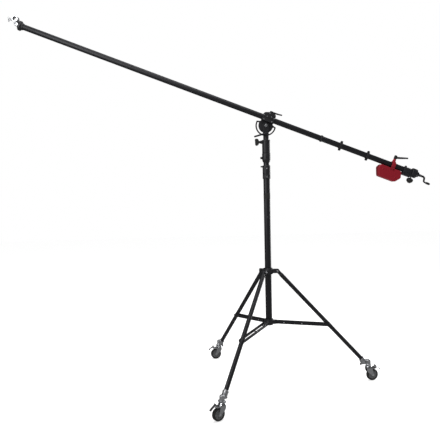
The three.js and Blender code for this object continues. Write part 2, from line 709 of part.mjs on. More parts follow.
// ---------------------------------------------------------------- assembly
function addColumn(stand) {
  piece(stand, 'column_tube', columnStage(COLUMN), blackPaint);
  piece(stand, 'brace_hub', braceHub(), blackCasting);
  piece(stand, 'lower_lock_collar', lowerLockCollar(), blackCasting);
  piece(stand, 'lower_lock_knob', lowerLockKnob(), blackPlastic);
  piece(stand, 'riser_lower', columnStage(RISER_LOWER), blackPaint);
  piece(stand, 'middle_lock_collar', middleLockCollar(), blackCasting);
  piece(stand, 'middle_lock_knob', middleLockKnob(), blackPlastic);
  piece(stand, 'riser_upper', columnStage(RISER_UPPER), blackPaint);
  piece(stand, 'top_receiver', topReceiver(), blackCasting);
  piece(stand, 'receiver_knob', receiverKnob(), blackPlastic);
}

function addLeg(stand, letter, azimuth, trail) {
  const side = group(stand);
  side.rotation.z = rad(azimuth);
  const leg = group(side, LEG_PIVOT.r, 0, LEG_PIVOT.z);
  leg.rotation.y = LEG_SLOPE;
  piece(leg, `leg_tube_${letter}`, legTube(), blackPaint);
  const strut = group(side, BRACE_PIVOT.r, 0, BRACE_PIVOT.z);
  strut.rotation.y = BRACE_SLOPE;
  piece(strut, `brace_${letter}`, brace(), blackPaint);
  piece(side, `caster_socket_${letter}`, casterSocket(), castSilver);
  const caster = group(side, CASTER.radius, 0, 0);
  caster.rotation.z = rad(trail - azimuth);
  piece(caster, `caster_fork_${letter}`, casterFork(), chrome);
  piece(caster, `brake_pedal_${letter}`, brakePedal(), chrome);
  const wheel = group(caster, CASTER.trail, 0, WHEEL.radius);
  piece(wheel, `wheel_tyre_${letter}`, wheelTyre(), tyreRubber);
  piece(wheel, `wheel_hub_${letter}`, wheelHub(), hubGrey);
}

function addBase(stand) {
  piece(stand, 'leg_collar', legCollar(), blackCasting);
  piece(stand, 'collar_knob', collarKnob(), blackPlastic);
  LETTERS.forEach((letter, i) => addLeg(stand, letter, LEG_AZIMUTHS[i], CASTER_TRAILS[i]));
}

function addHead(stand) {
  const head = group(stand, 0, 0, TILT_PIVOT_Z);
  piece(head, 'head_yoke', headYoke(), blackCasting);
  piece(head, 'tilt_bolt', tiltBolt(), castSilver);
  piece(head, 'tilt_lock_lever', tiltLockLever(), blackPaint);
  const tilted = group(head);
  tilted.rotation.y = rad(BOOM_TILT);
  piece(tilted, 'tilt_quadrant', tiltQuadrant(), blackCasting);
  piece(tilted, 'boom_clamp', boomClamp(), blackCasting);
  piece(tilted, 'clamp_cap', clampCap(), blackCasting);
  piece(tilted, 'boom_clamp_lever', boomClampLever(), blackPaint);
  return tilted;
}

function addBoom(tilted) {
  const boom = group(tilted, 0, 0, BOOM_OFFSET);
  piece(boom, 'boom_tube', boomTube(), blackPaint);
  piece(boom, 'boom_ring_1', boomRing(RING_1_U), blackCasting);
  CLAMP_RING_US.forEach((u, i) => piece(boom, `boom_ring_${i + 2}`, clampRing(u), blackCasting));
  piece(boom, 'tip_flange', tipFlange(), blackCasting);
  piece(boom, 'rear_housing', rearHousing(), blackCasting);
  piece(boom, 'rear_collar', rearCollar(), blackCasting);
  piece(boom, 'rear_knob', rearKnob(), blackPlastic);
  piece(boom, 'control_rod', controlRod(), chrome);
  piece(boom, 'crank', crank(), blackPaint);
  piece(boom, 'crank_grip', crankGrip(), blackPlastic);
  piece(boom, 'tip_yoke', tipYoke(), castSilver);
  piece(boom, 'counterweight', counterweight(), redPaint);
  piece(boom, 'weight_bracket', weightBracket(), redPaint);
  piece(boom, 'weight_lever', weightLever(), blackPaint);
  const lamp = group(boom, LAMP_PIVOT_U, 0, 0);
  lamp.rotation.y = -rad(BOOM_TILT);
  piece(lamp, 'lamp_socket', lampSocket(), castSilver);
  piece(lamp, 'lamp_socket_screw', lampSocketScrew(), castSilver);
}

function buildStand() {
  const stand = new THREE.Group();
  addColumn(stand);
  addBase(stand);
  addBoom(addHead(stand));
  stand.updateMatrixWorld(true);
  // The origin goes to the middle of the stand's bounding box, on the floor.
  const bounds = new THREE.Box3().setFromObject(stand, true);
  const middle = bounds.getCenter(new THREE.Vector3());
  stand.position.set(-middle.x, -middle.y, -bounds.min.z);
  return stand;
}

export default buildStand();
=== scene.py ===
"""Studio looks for a wheeled boom stand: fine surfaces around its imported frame, with a plain stage.

Local sizes are in millimetres and each group of pieces has its own frame, read from the joints.
"""

import json
import math

import bmesh
import bpy
from mathutils import Matrix, Vector
from mathutils.geometry import tessellate_polygon


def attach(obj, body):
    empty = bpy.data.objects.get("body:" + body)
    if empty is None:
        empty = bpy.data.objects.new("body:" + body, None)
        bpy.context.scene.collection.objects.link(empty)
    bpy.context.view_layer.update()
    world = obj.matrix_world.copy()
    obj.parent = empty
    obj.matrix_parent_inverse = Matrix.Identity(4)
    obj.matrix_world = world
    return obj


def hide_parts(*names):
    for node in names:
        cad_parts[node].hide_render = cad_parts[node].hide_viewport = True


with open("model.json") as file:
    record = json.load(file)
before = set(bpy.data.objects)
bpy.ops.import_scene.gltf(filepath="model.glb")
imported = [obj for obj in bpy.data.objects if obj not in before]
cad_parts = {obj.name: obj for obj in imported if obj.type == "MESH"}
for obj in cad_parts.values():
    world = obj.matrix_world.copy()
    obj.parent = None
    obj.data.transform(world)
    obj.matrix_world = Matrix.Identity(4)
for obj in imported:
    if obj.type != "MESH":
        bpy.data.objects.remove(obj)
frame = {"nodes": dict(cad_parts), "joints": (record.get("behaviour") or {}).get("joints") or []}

bl_info = {
    "name": "Boom stand looks",
    "version": (1, 0, 0),
    "blender": (4, 5, 0),
    "location": "View3D > Sidebar > Boom Stand",
    "description": "Builds the visible pieces of a wheeled boom stand around its frame",
    "category": "Object",
}

MM = 0.001
LETTERS = ("a", "b", "c")
UP = Vector((0, 0, 1))
RIGHT = Vector((1, 0, 0))
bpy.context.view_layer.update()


# ---------------------------------------------------------------- places, read from the frame
def joint(name):
    return next(j for j in frame["joints"] if j["name"] == name)


def pivot(name):
    return Vector(joint(name)["pos_m"])


def place(origin, along=RIGHT, up=UP):
    """A frame in millimetres with X along a direction and Z as near up as it can be."""
    x = Vector(along).normalized()
    y = Vector(up).cross(x).normalized()
    turn = Matrix((x, y, x.cross(y))).transposed().to_4x4()
    return Matrix.Translation(origin) @ turn @ Matrix.Scale(MM, 4)


def inside(where, point):
    """A point of the frame's metres in a local place's millimetres."""
    return where.inverted() @ Vector(point)


def span(node, where, axis):
    """How far a CAD node reaches along one axis of a place, in millimetres."""
    back = where.inverted()
    values = [(back @ v.co)[axis] for v in frame["nodes"][node].data.vertices]
    return min(values), max(values)


def far_end(node, start):
    """The middle of a bar's far end, from the CAD points that lie farthest from its start."""
    points = [v.co.copy() for v in frame["nodes"][node].data.vertices]
    reach = max((p - start).length for p in points)
    last = [p for p in points if (p - start).length > reach - 3 * MM]
    return sum(last, Vector()) / len(last)


AXIS = Vector((pivot("head_pan").x, pivot("head_pan").y, 0))
COLUMN = place(AXIS)
HEAD = place(pivot("boom_tilt"))
BOOM_LINE = Vector(joint("boom_slide")["axis"]).normalized()
TILTED = place(pivot("boom_tilt"), BOOM_LINE)
BOOM_RISE = inside(TILTED, pivot("crank_turn")).z
BOOM = TILTED @ Matrix.Translation((0, 0, BOOM_RISE))
LAMP = place(pivot("lamp_tilt"))
SOCKET_RISE = sum(span("lamp_socket_screw", LAMP, 2)) / 2


def outward(letter):
    return (pivot(f"leg_{letter}_fold") - AXIS).to_2d().to_3d().normalized()


SIDE = {k: place(AXIS, outward(k)) for k in LETTERS}
LEG = {
    k: place(pivot(f"leg_{k}_fold"), far_end(f"leg_tube_{k}",
                                             pivot(f"leg_{k}_fold")) - pivot(f"leg_{k}_fold"))
    for k in LETTERS
}
BRACE = {
    k: place(pivot(f"brace_{k}_fold"), far_end(f"brace_{k}",
                                               pivot(f"brace_{k}_fold")) - pivot(f"brace_{k}_fold"))
    for k in LETTERS
}
CASTER = {
    k: place(
        pivot(f"caster_{k}_swivel").to_2d().to_3d(),
        (pivot(f"wheel_{k}_roll") - pivot(f"caster_{k}_swivel")).to_2d().to_3d(),
    )
    for k in LETTERS
}

# Sizes in millimetres.
LEG_LENGTH = span("leg_tube_a", LEG["a"], 0)[1]
LEG_RADIUS = 14.0
BRACE_LENGTH = span("brace_a", BRACE["a"], 0)[1] - 10
BRACE_JOIN = inside(LEG["a"], BRACE["a"] @ Vector((BRACE_LENGTH, 0, 0))).x
HUB_Z = inside(COLUMN, pivot("brace_a_fold")).z
COLLAR_Z = inside(COLUMN, pivot("leg_a_fold")).z
LEG_OUT = inside(SIDE["a"], pivot("leg_a_fold")).x
HUB_OUT = inside(SIDE["a"], pivot("brace_a_fold")).x
CASTER_OUT = inside(SIDE["a"], pivot("caster_a_swivel")).x
TRAIL = inside(CASTER["a"], pivot("wheel_a_roll")).x
WHEEL_RADIUS = inside(CASTER["a"], pivot("wheel_a_roll")).z
PEDAL = inside(CASTER["a"], pivot("pedal_a_press"))
BOOM_RADIUS = 18.5
BOOM_SEAT = BOOM_RADIUS + 0.15  # bore of the pieces that sit on the boom tube
COLUMN_RADIUS, LOWER_RISER_RADIUS, UPPER_RISER_RADIUS = 22, 19.3, 16.8
PIN_RADIUS = 4.2
SPACERS = (48, 170)  # from a brace's pivot on the hub
LAMP_U = inside(BOOM, pivot("lamp_tilt")).x


# ---------------------------------------------------------------- shapes
def moved(shape, matrix):
    bmesh.ops.transform(shape, matrix=matrix, verts=shape.verts)
    return shape


def at(x=0, y=0, z=0):
    return Matrix.Translation((x, y, z))


LAY_ALONG_X = Matrix(((0, 0, 1, 0), (0, 1, 0, 0), (-1, 0, 0, 0), (0, 0, 0, 1)))
LAY_ALONG_Y = Matrix(((1, 0, 0, 0), (0, 0, 1, 0), (0, -1, 0, 0), (0, 0, 0, 1)))
LAYS = {"X": LAY_ALONG_X, "Y": LAY_ALONG_Y, "Z": Matrix.Identity(4)}


def arc(x, z, radius, start, end, steps=12):
    """Points on an arc, from one angle to another in degrees."""
    angles = [math.radians(start + (end - start) * i / steps) for i in range(steps + 1)]
    return [(x + radius * math.cos(a), z + radius * math.sin(a)) for a in angles]


def link(x0, z0, r0, x1, z1, r1, steps=10):
    """The outline of a bar with two round ends."""
    lean = math.degrees(math.atan2(z1 - z0, x1 - x0))
    spread = math.degrees(math.acos((r0 - r1) / math.hypot(x1 - x0, z1 - z0)))
    back = arc(x0, z0, r0, lean + spread, lean - spread + 360, steps)
    return back + arc(x1, z1, r1, lean - spread, lean + spread, steps)


def softened(points, radius, closed=True, steps=3):
    """The outline with each corner replaced by a short curve."""
    result = []
    count = len(points)
    for i, point in enumerate(points):
        if not closed and i in (0, count - 1):
            result.append(tuple(point))
            continue
        corner = Vector(point)
        before = Vector(points[i - 1]) - corner
        after = Vector(points[(i + 1) % count]) - corner
        reach = min(radius, before.length * 0.45, after.length * 0.45)
        start = corner + before.normalized() * reach
        end = corner + after.normalized() * reach
        for step in range(steps + 1):
            t = step / steps
            result.append(tuple(start * (1 - t) ** 2 + corner * 2 * t * (1 - t) + end * t * t))
    return result


def turned(profile, about="Z", sides=48, soft=0.6):
    """A turned solid from [radius, height] points that end on the axis or close on themselves."""
    solid = profile[0][0] == 0 and profile[-1][0] == 0
    points = softened(profile, soft, closed=not solid) if soft else profile
    shape = bmesh.new()
    rings = []
    for radius, height in points:
        count = 1 if radius < 1e-6 else sides
        angles = [2 * math.pi * i / count for i in range(count)]
        rings.append([
            shape.verts.new((radius * math.cos(a), radius * math.sin(a), height)) for a in angles
        ])
    pairs = list(zip(rings, rings[1:]))
    if not solid:
        pairs.append((rings[-1], rings[0]))
    for low, high in pairs:
        for i in range(sides):
            j = (i + 1) % sides
            corners = [low[i % len(low)], low[j % len(low)], high[j % len(high)], high[i % len(high)]]
            unique = list(dict.fromkeys(corners))
            if len(unique) > 2:
                shape.faces.new(unique)
    bmesh.ops.recalc_face_normals(shape, faces=shape.faces)
    return moved(shape, LAYS[about])


def signed_area(loop):
    pairs = zip(loop, loop[1:] + loop[:1])
    return sum(a[0] * b[1] - b[0] * a[1] for a, b in pairs) / 2


def tidy_loop(loop, anticlockwise):
    clean = [tuple(p) for i, p in enumerate(loop) if (Vector(p) - Vector(loop[i - 1])).length > 1e-4]
    return clean if (signed_area(clean) > 0) == anticlockwise else clean[::-1]


def inset_loop(loop, amount):
    result = []
    for i, point in enumerate(loop):
        before = (Vector(point) - Vector(loop[i - 1])).normalized()
        after = (Vector(loop[(i + 1) % len(loop)]) - Vector(point)).normalized()
        left = Vector((-before.y, before.x)) + Vector((-after.y, after.x))
        result.append(Vector(point) + left * (amount / max(0.35, 1 + before.dot(after))))
    return result


def plate(outline, near, far, edge=1.0, holes=(), steps=3):
    """A plate with an outline in X-Z between two Y values, its edges rounded over."""
    loops = [tidy_loop(outline, True)] + [tidy_loop(h, False) for h in holes]
    turns = [math.pi / 2 * i / steps for i in range(steps + 1)]
    rim = [(edge * (1 - math.sin(t)), edge * (1 - math.cos(t))) for t in turns]
    layers = [(inset, near + depth) for inset, depth in rim]
    layers += [(inset, far - depth) for inset, depth in reversed(rim)]
    shape = bmesh.new()
    first, last = [], []
    for loop in loops:
        rings = []
        for inset, y in layers:
            ring = inset_loop(loop, inset)
            rings.append([shape.verts.new((p.x, y, p.y)) for p in ring])
        for low, high in zip(rings, rings[1:]):
            for i in range(len(loop)):
                j = (i + 1) % len(loop)
                shape.faces.new((low[i], low[j], high[j], high[i]))
        first.append(rings[0])
        last.append(rings[-1])
    for cap in (first, last):
        corners = [v for ring in cap for v in ring]
        flat = [[Vector((v.co.x, v.co.z, 0)) for v in ring] for ring in cap]
        for triangle in tessellate_polygon(flat):
            shape.faces.new([corners[i] for i in triangle])
    bmesh.ops.recalc_face_normals(shape, faces=shape.faces)
    return shape


TURN_TO_YZ = Matrix(((0, 1, 0, 0), (1, 0, 0, 0), (0, 0, 1, 0), (0, 0, 0, 1)))


def plate_along_x(outline, near, far, edge=1.0, holes=()):
    """The same plate with its outline in Y-Z, between two X values."""
    shape = moved(plate(outline, near, far, edge, holes), TURN_TO_YZ)
    bmesh.ops.recalc_face_normals(shape, faces=shape.faces)
    return shape


def box(x0, x1, y0, y1, z0, z1, edge=1.0):
    return plate([(x0, z0), (x1, z0), (x1, z1), (x0, z1)], y0, y1, edge)


def rod(start, end, radius, end_radius=None, soft=0.6, sides=32):
    """A round bar between two points."""
    start, end = Vector(start), Vector(end)
    length = (end - start).length
    second = radius if end_radius is None else end_radius
    shape = turned([(0, 0), (radius, 0), (second, length), (0, length)], "Z", sides, soft)
    turn = (end - start).to_track_quat("Z", "Y").to_matrix().to_4x4()
    return moved(shape, Matrix.Translation(start) @ turn)


def swept(path, radii, flat=1.0, sides=24):
    """A round or flattened bar along a path in X-Z, with a radius at each point and domed ends."""
    path = [Vector(p) for p in path]
    radii = list(radii)
    tangents = [
        (path[min(i + 1, len(path) - 1)] - path[max(i - 1, 0)]).normalized() for i in range(len(path))
    ]
    stations = []
    for t in (75, 50, 25):
        a = math.radians(t)
        stations.append((path[0] - tangents[0] * radii[0] * math.sin(a) * 0.8, tangents[0],
                         radii[0] * math.cos(a)))
    stations += list(zip(path, tangents, radii))
    for t in (25, 50, 75):
        a = math.radians(t)
        stations.append((path[-1] + tangents[-1] * radii[-1] * math.sin(a) * 0.8, tangents[-1],
                         radii[-1] * math.cos(a)))
    shape = bmesh.new()
    across = Vector((0, 1, 0))
    rings = []
    for middle, tangent, radius in stations:
        normal = across.cross(tangent).normalized()
        ring = []
        for i in range(sides):
            a = 2 * math.pi * i / sides
            ring.append(shape.verts.new(
                middle + across * radius * math.cos(a) + normal * radius * flat * math.sin(a)))
        rings.append(ring)
    for low, high in zip(rings, rings[1:]):
        for i in range(sides):
            j = (i + 1) % sides
            shape.faces.new((low[i], low[j], high[j], high[i]))
    shape.faces.new(rings[0])
    shape.faces.new(rings[-1])
    bmesh.ops.recalc_face_normals(shape, faces=shape.faces)
    return shape


def together(*shapes):
    """Several closed shells as one shape."""
    whole = bmesh.new()
    for shape in shapes:
        part = bpy.data.meshes.new("part")
        shape.to_mesh(part)
        whole.from_mesh(part)
        bpy.data.meshes.remove(part)
        shape.free()
    return whole


def loose_object(shape, name="work"):
    mesh = bpy.data.meshes.new(name)
    shape.to_mesh(mesh)
    shape.free()
    holder = bpy.data.objects.new(name, mesh)
    bpy.context.scene.collection.objects.link(holder)
    return holder


def settled(holder):
    """The evaluated mesh of a loose object, as a plain mesh, with the object removed."""
    graph = bpy.context.evaluated_depsgraph_get()
    mesh = bpy.data.meshes.new_from_object(holder.evaluated_get(graph), depsgraph=graph)
    old = holder.data
    bpy.data.objects.remove(holder)
    bpy.data.meshes.remove(old)
    return mesh


def as_shape(mesh):
    shape = bmesh.new()
    shape.from_mesh(mesh)
    bpy.data.meshes.remove(mesh)
    return shape


def cast(*shapes, grain=1.0, smoothing=6):
    """One casting from overlapping solids, with fillets where they meet."""
    holder = loose_object(together(*shapes))
    skin = holder.modifiers.new("skin", "REMESH")
    skin.mode = "VOXEL"
    skin.voxel_size = grain
    relax = holder.modifiers.new("relax", "SMOOTH")
    relax.factor = 0.5
    relax.iterations = smoothing
    return as_shape(settled(holder))


def carved(shape, *tools):
    """The shape with other solids cut out of it."""
    holder = loose_object(shape)
    cutters = [loose_object(tool, "tool") for tool in tools]
    for cutter in cutters:
        step = holder.modifiers.new("cut", "BOOLEAN")
        step.operation = "DIFFERENCE"
        step.solver = "EXACT"
        step.object = cutter
    mesh = settled(holder)
    for cutter in cutters:
        bpy.data.objects.remove(cutter)
    return as_shape(mesh)


def show(name, shape, where, body, finish, stands_for=(), crease=38):
    """Puts a finished shape in its place and hands it to the frame."""
    moved(shape, where)
    mesh = bpy.data.meshes.new(name)
    shape.to_mesh(mesh)
    shape.free()
    return show_mesh(name, mesh, body, finish, stands_for, crease)


def show_mesh(name, mesh, body, finish, stands_for=(), crease=38):
    mesh.name = name
    mesh.shade_smooth()
    mesh.set_sharp_from_angle(angle=math.radians(crease))
    mesh.materials.clear()
    mesh.materials.append(bpy.data.materials[finish])
    piece = bpy.data.objects.new(name, mesh)
    bpy.context.scene.collection.objects.link(piece)
    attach(piece, body)
    if stands_for:
        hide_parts(*stands_for)
    return piece


def cross_pin(x, z, half, radius=PIN_RADIUS):
    """A round pin along Y through a part, at one X-Z point."""
    return rod((x, -half, z), (x, half, z), radius)


def both_sides(out, *points):
    """Places for bolts on both Y faces of a part, at X-Z points."""
    return [((x, side * out, z), (0, side, 0)) for x, z in points for side in (-1, 1)]


# ---------------------------------------------------------------- shapes that repeat
def node_tree(name, inputs):
    """An empty geometry tree with a geometry output and named inputs."""
    tree = bpy.data.node_groups.new(name, "GeometryNodeTree")
    tree.interface.new_socket("Geometry", in_out="OUTPUT", socket_type="NodeSocketGeometry")
    tree.interface.new_socket("Geometry", in_out="INPUT", socket_type="NodeSocketGeometry")
    for label, kind, default in inputs:
        socket = tree.interface.new_socket(label, in_out="INPUT", socket_type=kind)
        if default is not None:
            socket.default_value = default
    tree.nodes.new("NodeGroupInput")
    tree.nodes.new("NodeGroupOutput")
    return tree


class Wires:
    """Short ways to add and join nodes in one tree."""

    def __init__(self, tree):
        self.tree = tree

    def node(self, kind, inputs=None, **settings):
        made = self.tree.nodes.new(kind)
        for key, value in settings.items():
            setattr(made, key, value)
        for key, value in (inputs or {}).items():
            self.feed(made.inputs[key], value)
        return made

    def feed(self, socket, value):
        if isinstance(value, bpy.types.NodeSocket):
            self.tree.links.new(value, socket)
        else:
            socket.default_value = value

    def math(self, operation, first, second=0.0):
        return self.node("ShaderNodeMath", {0: first, 1: second}, operation=operation).outputs[0]


def end_tree(wires, geometry, material):
    """Realizes what was instanced, sets its material and joins the tree's output."""
    real = wires.node("GeometryNodeRealizeInstances", {0: geometry}).outputs[0]
    coloured = wires.node("GeometryNodeSetMaterial", {"Geometry": real, "Material": material})
    wires.feed(wires.tree.nodes["Group Output"].inputs[0], coloured.outputs[0])


def bolt_tree():
    """A bolt head or rivet on every point, facing the way that the point's attribute says."""
    metres = "NodeSocketFloat"
    tree = node_tree("bolt_heads", [
        ("Radius", metres, 0.005), ("Height", metres, 0.003), ("Crown", metres, 0.3),
        ("Facets", "NodeSocketInt", 24), ("Recess", metres, 0.5),
        ("Finish", "NodeSocketMaterial", None), ])
    w = Wires(tree)
    given = tree.nodes["Group Input"].outputs
    head = w.node("GeometryNodeMeshCylinder", {
        "Vertices": given["Facets"], "Radius": given["Radius"], "Depth": given["Height"],
        "Side Segments": 5})
    lift = w.math("MULTIPLY", given["Height"], 0.5)
    offset = w.node("ShaderNodeCombineXYZ", {"Z": lift}).outputs[0]
    raised = w.node("GeometryNodeTransform",
                    {"Geometry": head.outputs["Mesh"], "Translation": offset}).outputs[0]
    spot = w.node("GeometryNodeInputPosition").outputs[0]
    split = w.node("ShaderNodeSeparateXYZ", {0: spot}).outputs
    share = w.math("POWER", w.math("DIVIDE", split["Z"], given["Height"]), 3.0)
    scale = w.math("SUBTRACT", 1.0, w.math("MULTIPLY", share, given["Crown"]))
    domed = w.node("ShaderNodeCombineXYZ", {
        "X": w.math("MULTIPLY", split["X"], scale), "Y": w.math("MULTIPLY", split["Y"], scale),
        "Z": split["Z"]})
    crowned = w.node("GeometryNodeSetPosition",
                     {"Geometry": raised, "Position": domed.outputs[0]}).outputs[0]
    key_radius = w.math("MULTIPLY", given["Radius"], given["Recess"])
    key = w.node("GeometryNodeMeshCylinder",
                 {"Vertices": 6, "Radius": key_radius, "Depth": given["Height"]})
    key_up = w.node("ShaderNodeCombineXYZ", {"Z": w.math("MULTIPLY", given["Height"], 0.98)}).outputs[0]
    key_placed = w.node("GeometryNodeTransform",
                        {"Geometry": key.outputs["Mesh"], "Translation": key_up}).outputs[0]
    pocket = w.node("GeometryNodeMeshBoolean", {0: crowned, 1: key_placed},
                    operation="DIFFERENCE").outputs[0]
    facing = w.node("GeometryNodeInputNamedAttribute", {"Name": "facing"},
                    data_type="FLOAT_VECTOR").outputs[0]
    turn = w.node("FunctionNodeAlignRotationToVector", {"Vector": facing}, axis="Z").outputs[0]
    heads = w.node("GeometryNodeInstanceOnPoints", {
        "Points": given["Geometry"], "Instance": pocket, "Rotation": turn}).outputs[0]
    end_tree(w, heads, given["Finish"])
    return tree


def rib_tree():
    """Round ribs side by side on a circle, along its axis, like the flutes of a grip."""
    metres = "NodeSocketFloat"
    tree = node_tree("grip_ribs", [
        ("Count", "NodeSocketInt", 24), ("Ring Radius", metres, 0.01), ("Rib Radius", metres, 0.001),
        ("Length", metres, 0.01), ("Finish", "NodeSocketMaterial", None),
    ])
    w = Wires(tree)
    given = tree.nodes["Group Input"].outputs
    ring = w.node("GeometryNodeMeshCircle",
                  {"Vertices": given["Count"], "Radius": given["Ring Radius"]})
    rib = w.node("GeometryNodeMeshCylinder", {
        "Vertices": 10, "Radius": given["Rib Radius"], "Depth": given["Length"], "Side Segments": 5})
    spot = w.node("GeometryNodeInputPosition").outputs[0]
    split = w.node("ShaderNodeSeparateXYZ", {0: spot}).outputs
    share = w.math("ABSOLUTE", w.math("DIVIDE", split["Z"], w.math("MULTIPLY", given["Length"], 0.5)))
    scale = w.math("SUBTRACT", 1.0, w.math("MULTIPLY", w.math("POWER", share, 6.0), 0.6))
    rounded = w.node("ShaderNodeCombineXYZ", {
        "X": w.math("MULTIPLY", split["X"], scale), "Y": w.math("MULTIPLY", split["Y"], scale),
        "Z": split["Z"]})
    soft = w.node("GeometryNodeSetPosition",
                  {"Geometry": rib.outputs["Mesh"], "Position": rounded.outputs[0]})
    ribs = w.node("GeometryNodeInstanceOnPoints",
                  {"Points": ring.outputs["Mesh"], "Instance": soft.outputs[0]})
    end_tree(w, ribs.outputs[0], given["Finish"])
    return tree


def spoke_tree():
    """Flat webs that stand between a wheel's boss and its rim, on both faces."""
    metres = "NodeSocketFloat"
    tree = node_tree("wheel_webs", [
        ("Count", "NodeSocketInt", 8), ("Inner", metres, 0.010), ("Outer", metres, 0.026),
        ("Thickness", metres, 0.002), ("Depth", metres, 0.018), ("Finish", "NodeSocketMaterial", None),
    ])
    w = Wires(tree)
    given = tree.nodes["Group Input"].outputs
    middle = w.math("MULTIPLY", w.math("ADD", given["Inner"], given["Outer"]), 0.5)
    length = w.math("SUBTRACT", given["Outer"], given["Inner"])
    ring = w.node("GeometryNodeMeshCircle",
                  {"Vertices": given["Count"], "Radius": middle}).outputs["Mesh"]
    size = w.node("ShaderNodeCombineXYZ",
                  {"X": length, "Y": given["Thickness"], "Z": given["Depth"]}).outputs[0]
    web = w.node("GeometryNodeMeshCube", {"Size": size}).outputs["Mesh"]
    spot = w.node("GeometryNodeInputPosition").outputs[0]
    turn = w.node("FunctionNodeAlignRotationToVector", {"Vector": spot}, axis="X").outputs[0]
    webs = w.node("GeometryNodeInstanceOnPoints",
                  {"Points": ring, "Instance": web, "Rotation": turn}).outputs[0]
    end_tree(w, webs, given["Finish"])
    return tree


def tube_tree():
    """A drawn tube along Z with a wall and rounded lips, from a rectangle swept round a circle."""
    metres = "NodeSocketFloat"
    tree = node_tree("drawn_tube", [
        ("Radius", metres, 0.015), ("Wall", metres, 0.0015), ("Length", metres, 1.0),
        ("Sides", "NodeSocketInt", 64), ("Lip", metres, 0.0005), ("Finish", "NodeSocketMaterial", None),
    ])
    w = Wires(tree)
    given = tree.nodes["Group Input"].outputs
    mid_wall = w.math("SUBTRACT", given["Radius"], w.math("MULTIPLY", given["Wall"], 0.5))
    path = w.node("GeometryNodeCurvePrimitiveCircle",
                  {"Resolution": given["Sides"], "Radius": mid_wall})
    section = w.node("GeometryNodeCurvePrimitiveQuadrilateral",
                     {"Width": given["Wall"], "Height": given["Length"]})
    rounded = w.node("GeometryNodeFilletCurve", {
        "Curve": section.outputs[0], "Radius": given["Lip"], "Count": 3, "Limit Radius": True},
        mode="POLY")
    tube = w.node("GeometryNodeCurveToMesh",
                  {"Curve": path.outputs[0], "Profile Curve": rounded.outputs[0]})
    end_tree(w, tube.outputs[0], given["Finish"])
    return tree


def grown(tree_name, values, seed_points=((0, 0, 0),), facings=None):
    """Runs one of the trees on a few points and returns the plain mesh."""
    tree = bpy.data.node_groups[tree_name]
    mesh = bpy.data.meshes.new(tree_name)
    mesh.from_pydata([tuple(p) for p in seed_points], [], [])
    if facings:
        attribute = mesh.attributes.new("facing", "FLOAT_VECTOR", "POINT")
        for slot, facing in zip(attribute.data, facings):
            slot.vector = facing
    holder = bpy.data.objects.new(tree_name, mesh)
    bpy.context.scene.collection.objects.link(holder)
    modifier = holder.modifiers.new(tree_name, "NODES")
    modifier.node_group = tree
    names = {s.name: s.identifier for s in tree.interface.items_tree if s.in_out == "INPUT"}
    for label, value in values.items():
        modifier[names[label]] = value
    return settled(holder)


def tube(name, where, start, end, radius, wall, body, finish, stands_for=(), about="Z"):
    """A drawn tube from one height to another along an axis of its place."""
    mesh = grown("drawn_tube", {
        "Radius": radius, "Wall": wall, "Length": end - start, "Lip": min(0.5, wall * 0.3),
        "Finish": bpy.data.materials[finish]})
    shape = as_shape(mesh)
    bmesh.ops.remove_doubles(shape, verts=shape.verts, dist=1e-5)
    bmesh.ops.recalc_face_normals(shape, faces=shape.faces)
    moved(shape, at(0, 0, (start + end) / 2))
    return show(name, moved(shape, LAYS[about]), where, body, finish, stands_for)


def bolts(name, where, spots, body, finish, radius, height, facets=24, crown=0.3, recess=0.5):
    """Bolt heads or rivets at [point, facing] pairs of a place."""
    turn = where.to_3x3().normalized()
    points = [where @ Vector(point) for point, _ in spots]
    facings = [(turn @ Vector(facing)).normalized() for _, facing in spots]
    mesh = grown("bolt_heads", {
        "Radius": radius * MM, "Height": height * MM, "Crown": crown, "Facets": facets,
        "Recess": recess, "Finish": bpy.data.materials[finish]}, points, facings)
    return show_mesh(name, mesh, body, finish)


def ribs(count, ring, rib, length, about="Z"):
    """Flutes round an axis, as a shape in millimetres."""
    shape = as_shape(grown("grip_ribs", {
        "Count": count, "Ring Radius": float(ring), "Rib Radius": float(rib), "Length": float(length),
        "Finish": bpy.data.materials["black_plastic"]}))
    return moved(shape, LAYS[about])


def united(*shapes):
    """Several overlapping solids joined into one closed solid."""
    holder = loose_object(shapes[0])
    others = [loose_object(shape, "tool") for shape in shapes[1:]]
    for other in others:
        step = holder.modifiers.new("join", "BOOLEAN")
        step.operation = "UNION"
        step.solver = "EXACT"
        step.object = other
    mesh = settled(holder)
    for other in others:
        bpy.data.objects.remove(other)
    return as_shape(mesh)


def strip(path, thickness):
    """The outline of bent sheet metal that follows a path in X-Z."""
    points = [Vector(p) for p in softened(path, 6, closed=False, steps=4)]
    one, other = [], []
    for i, point in enumerate(points):
        along = (points[min(i + 1, len(points) - 1)] - points[max(i - 1, 0)]).normalized()
        side = Vector((-along.y, along.x)) * thickness / 2
        one.append(tuple(point + side))
        other.append(tuple(point - side))
    return one + other[::-1]


def spin(degrees):
    return Matrix.Rotation(math.radians(degrees), 4, "Z")


def leg_angles():
    return [math.degrees(math.atan2(outward(k).y, outward(k).x)) for k in LETTERS]


def shader_group(name, inputs, outputs):
    group = bpy.data.node_groups.new(name, "ShaderNodeTree")
    for label, default in inputs:
        socket = group.interface.new_socket(label, in_out="INPUT", socket_type="NodeSocketFloat")
        socket.default_value = default
    for label in outputs:
        group.interface.new_socket(label, in_out="OUTPUT", socket_type="NodeSocketFloat")
    group.nodes.new("NodeGroupInput")
    group.nodes.new("NodeGroupOutput")
    return group


def object_noise(w, scale, detail=3.0, stretch=(1, 1, 1)):
    coords = w.node("ShaderNodeTexCoord").outputs["Object"]
    mapping = w.node("ShaderNodeMapping", {"Vector": coords, "Scale": stretch})
    return w.node("ShaderNodeTexNoise", {
        "Vector": mapping.outputs[0], "Scale": scale, "Detail": detail}).outputs[0]


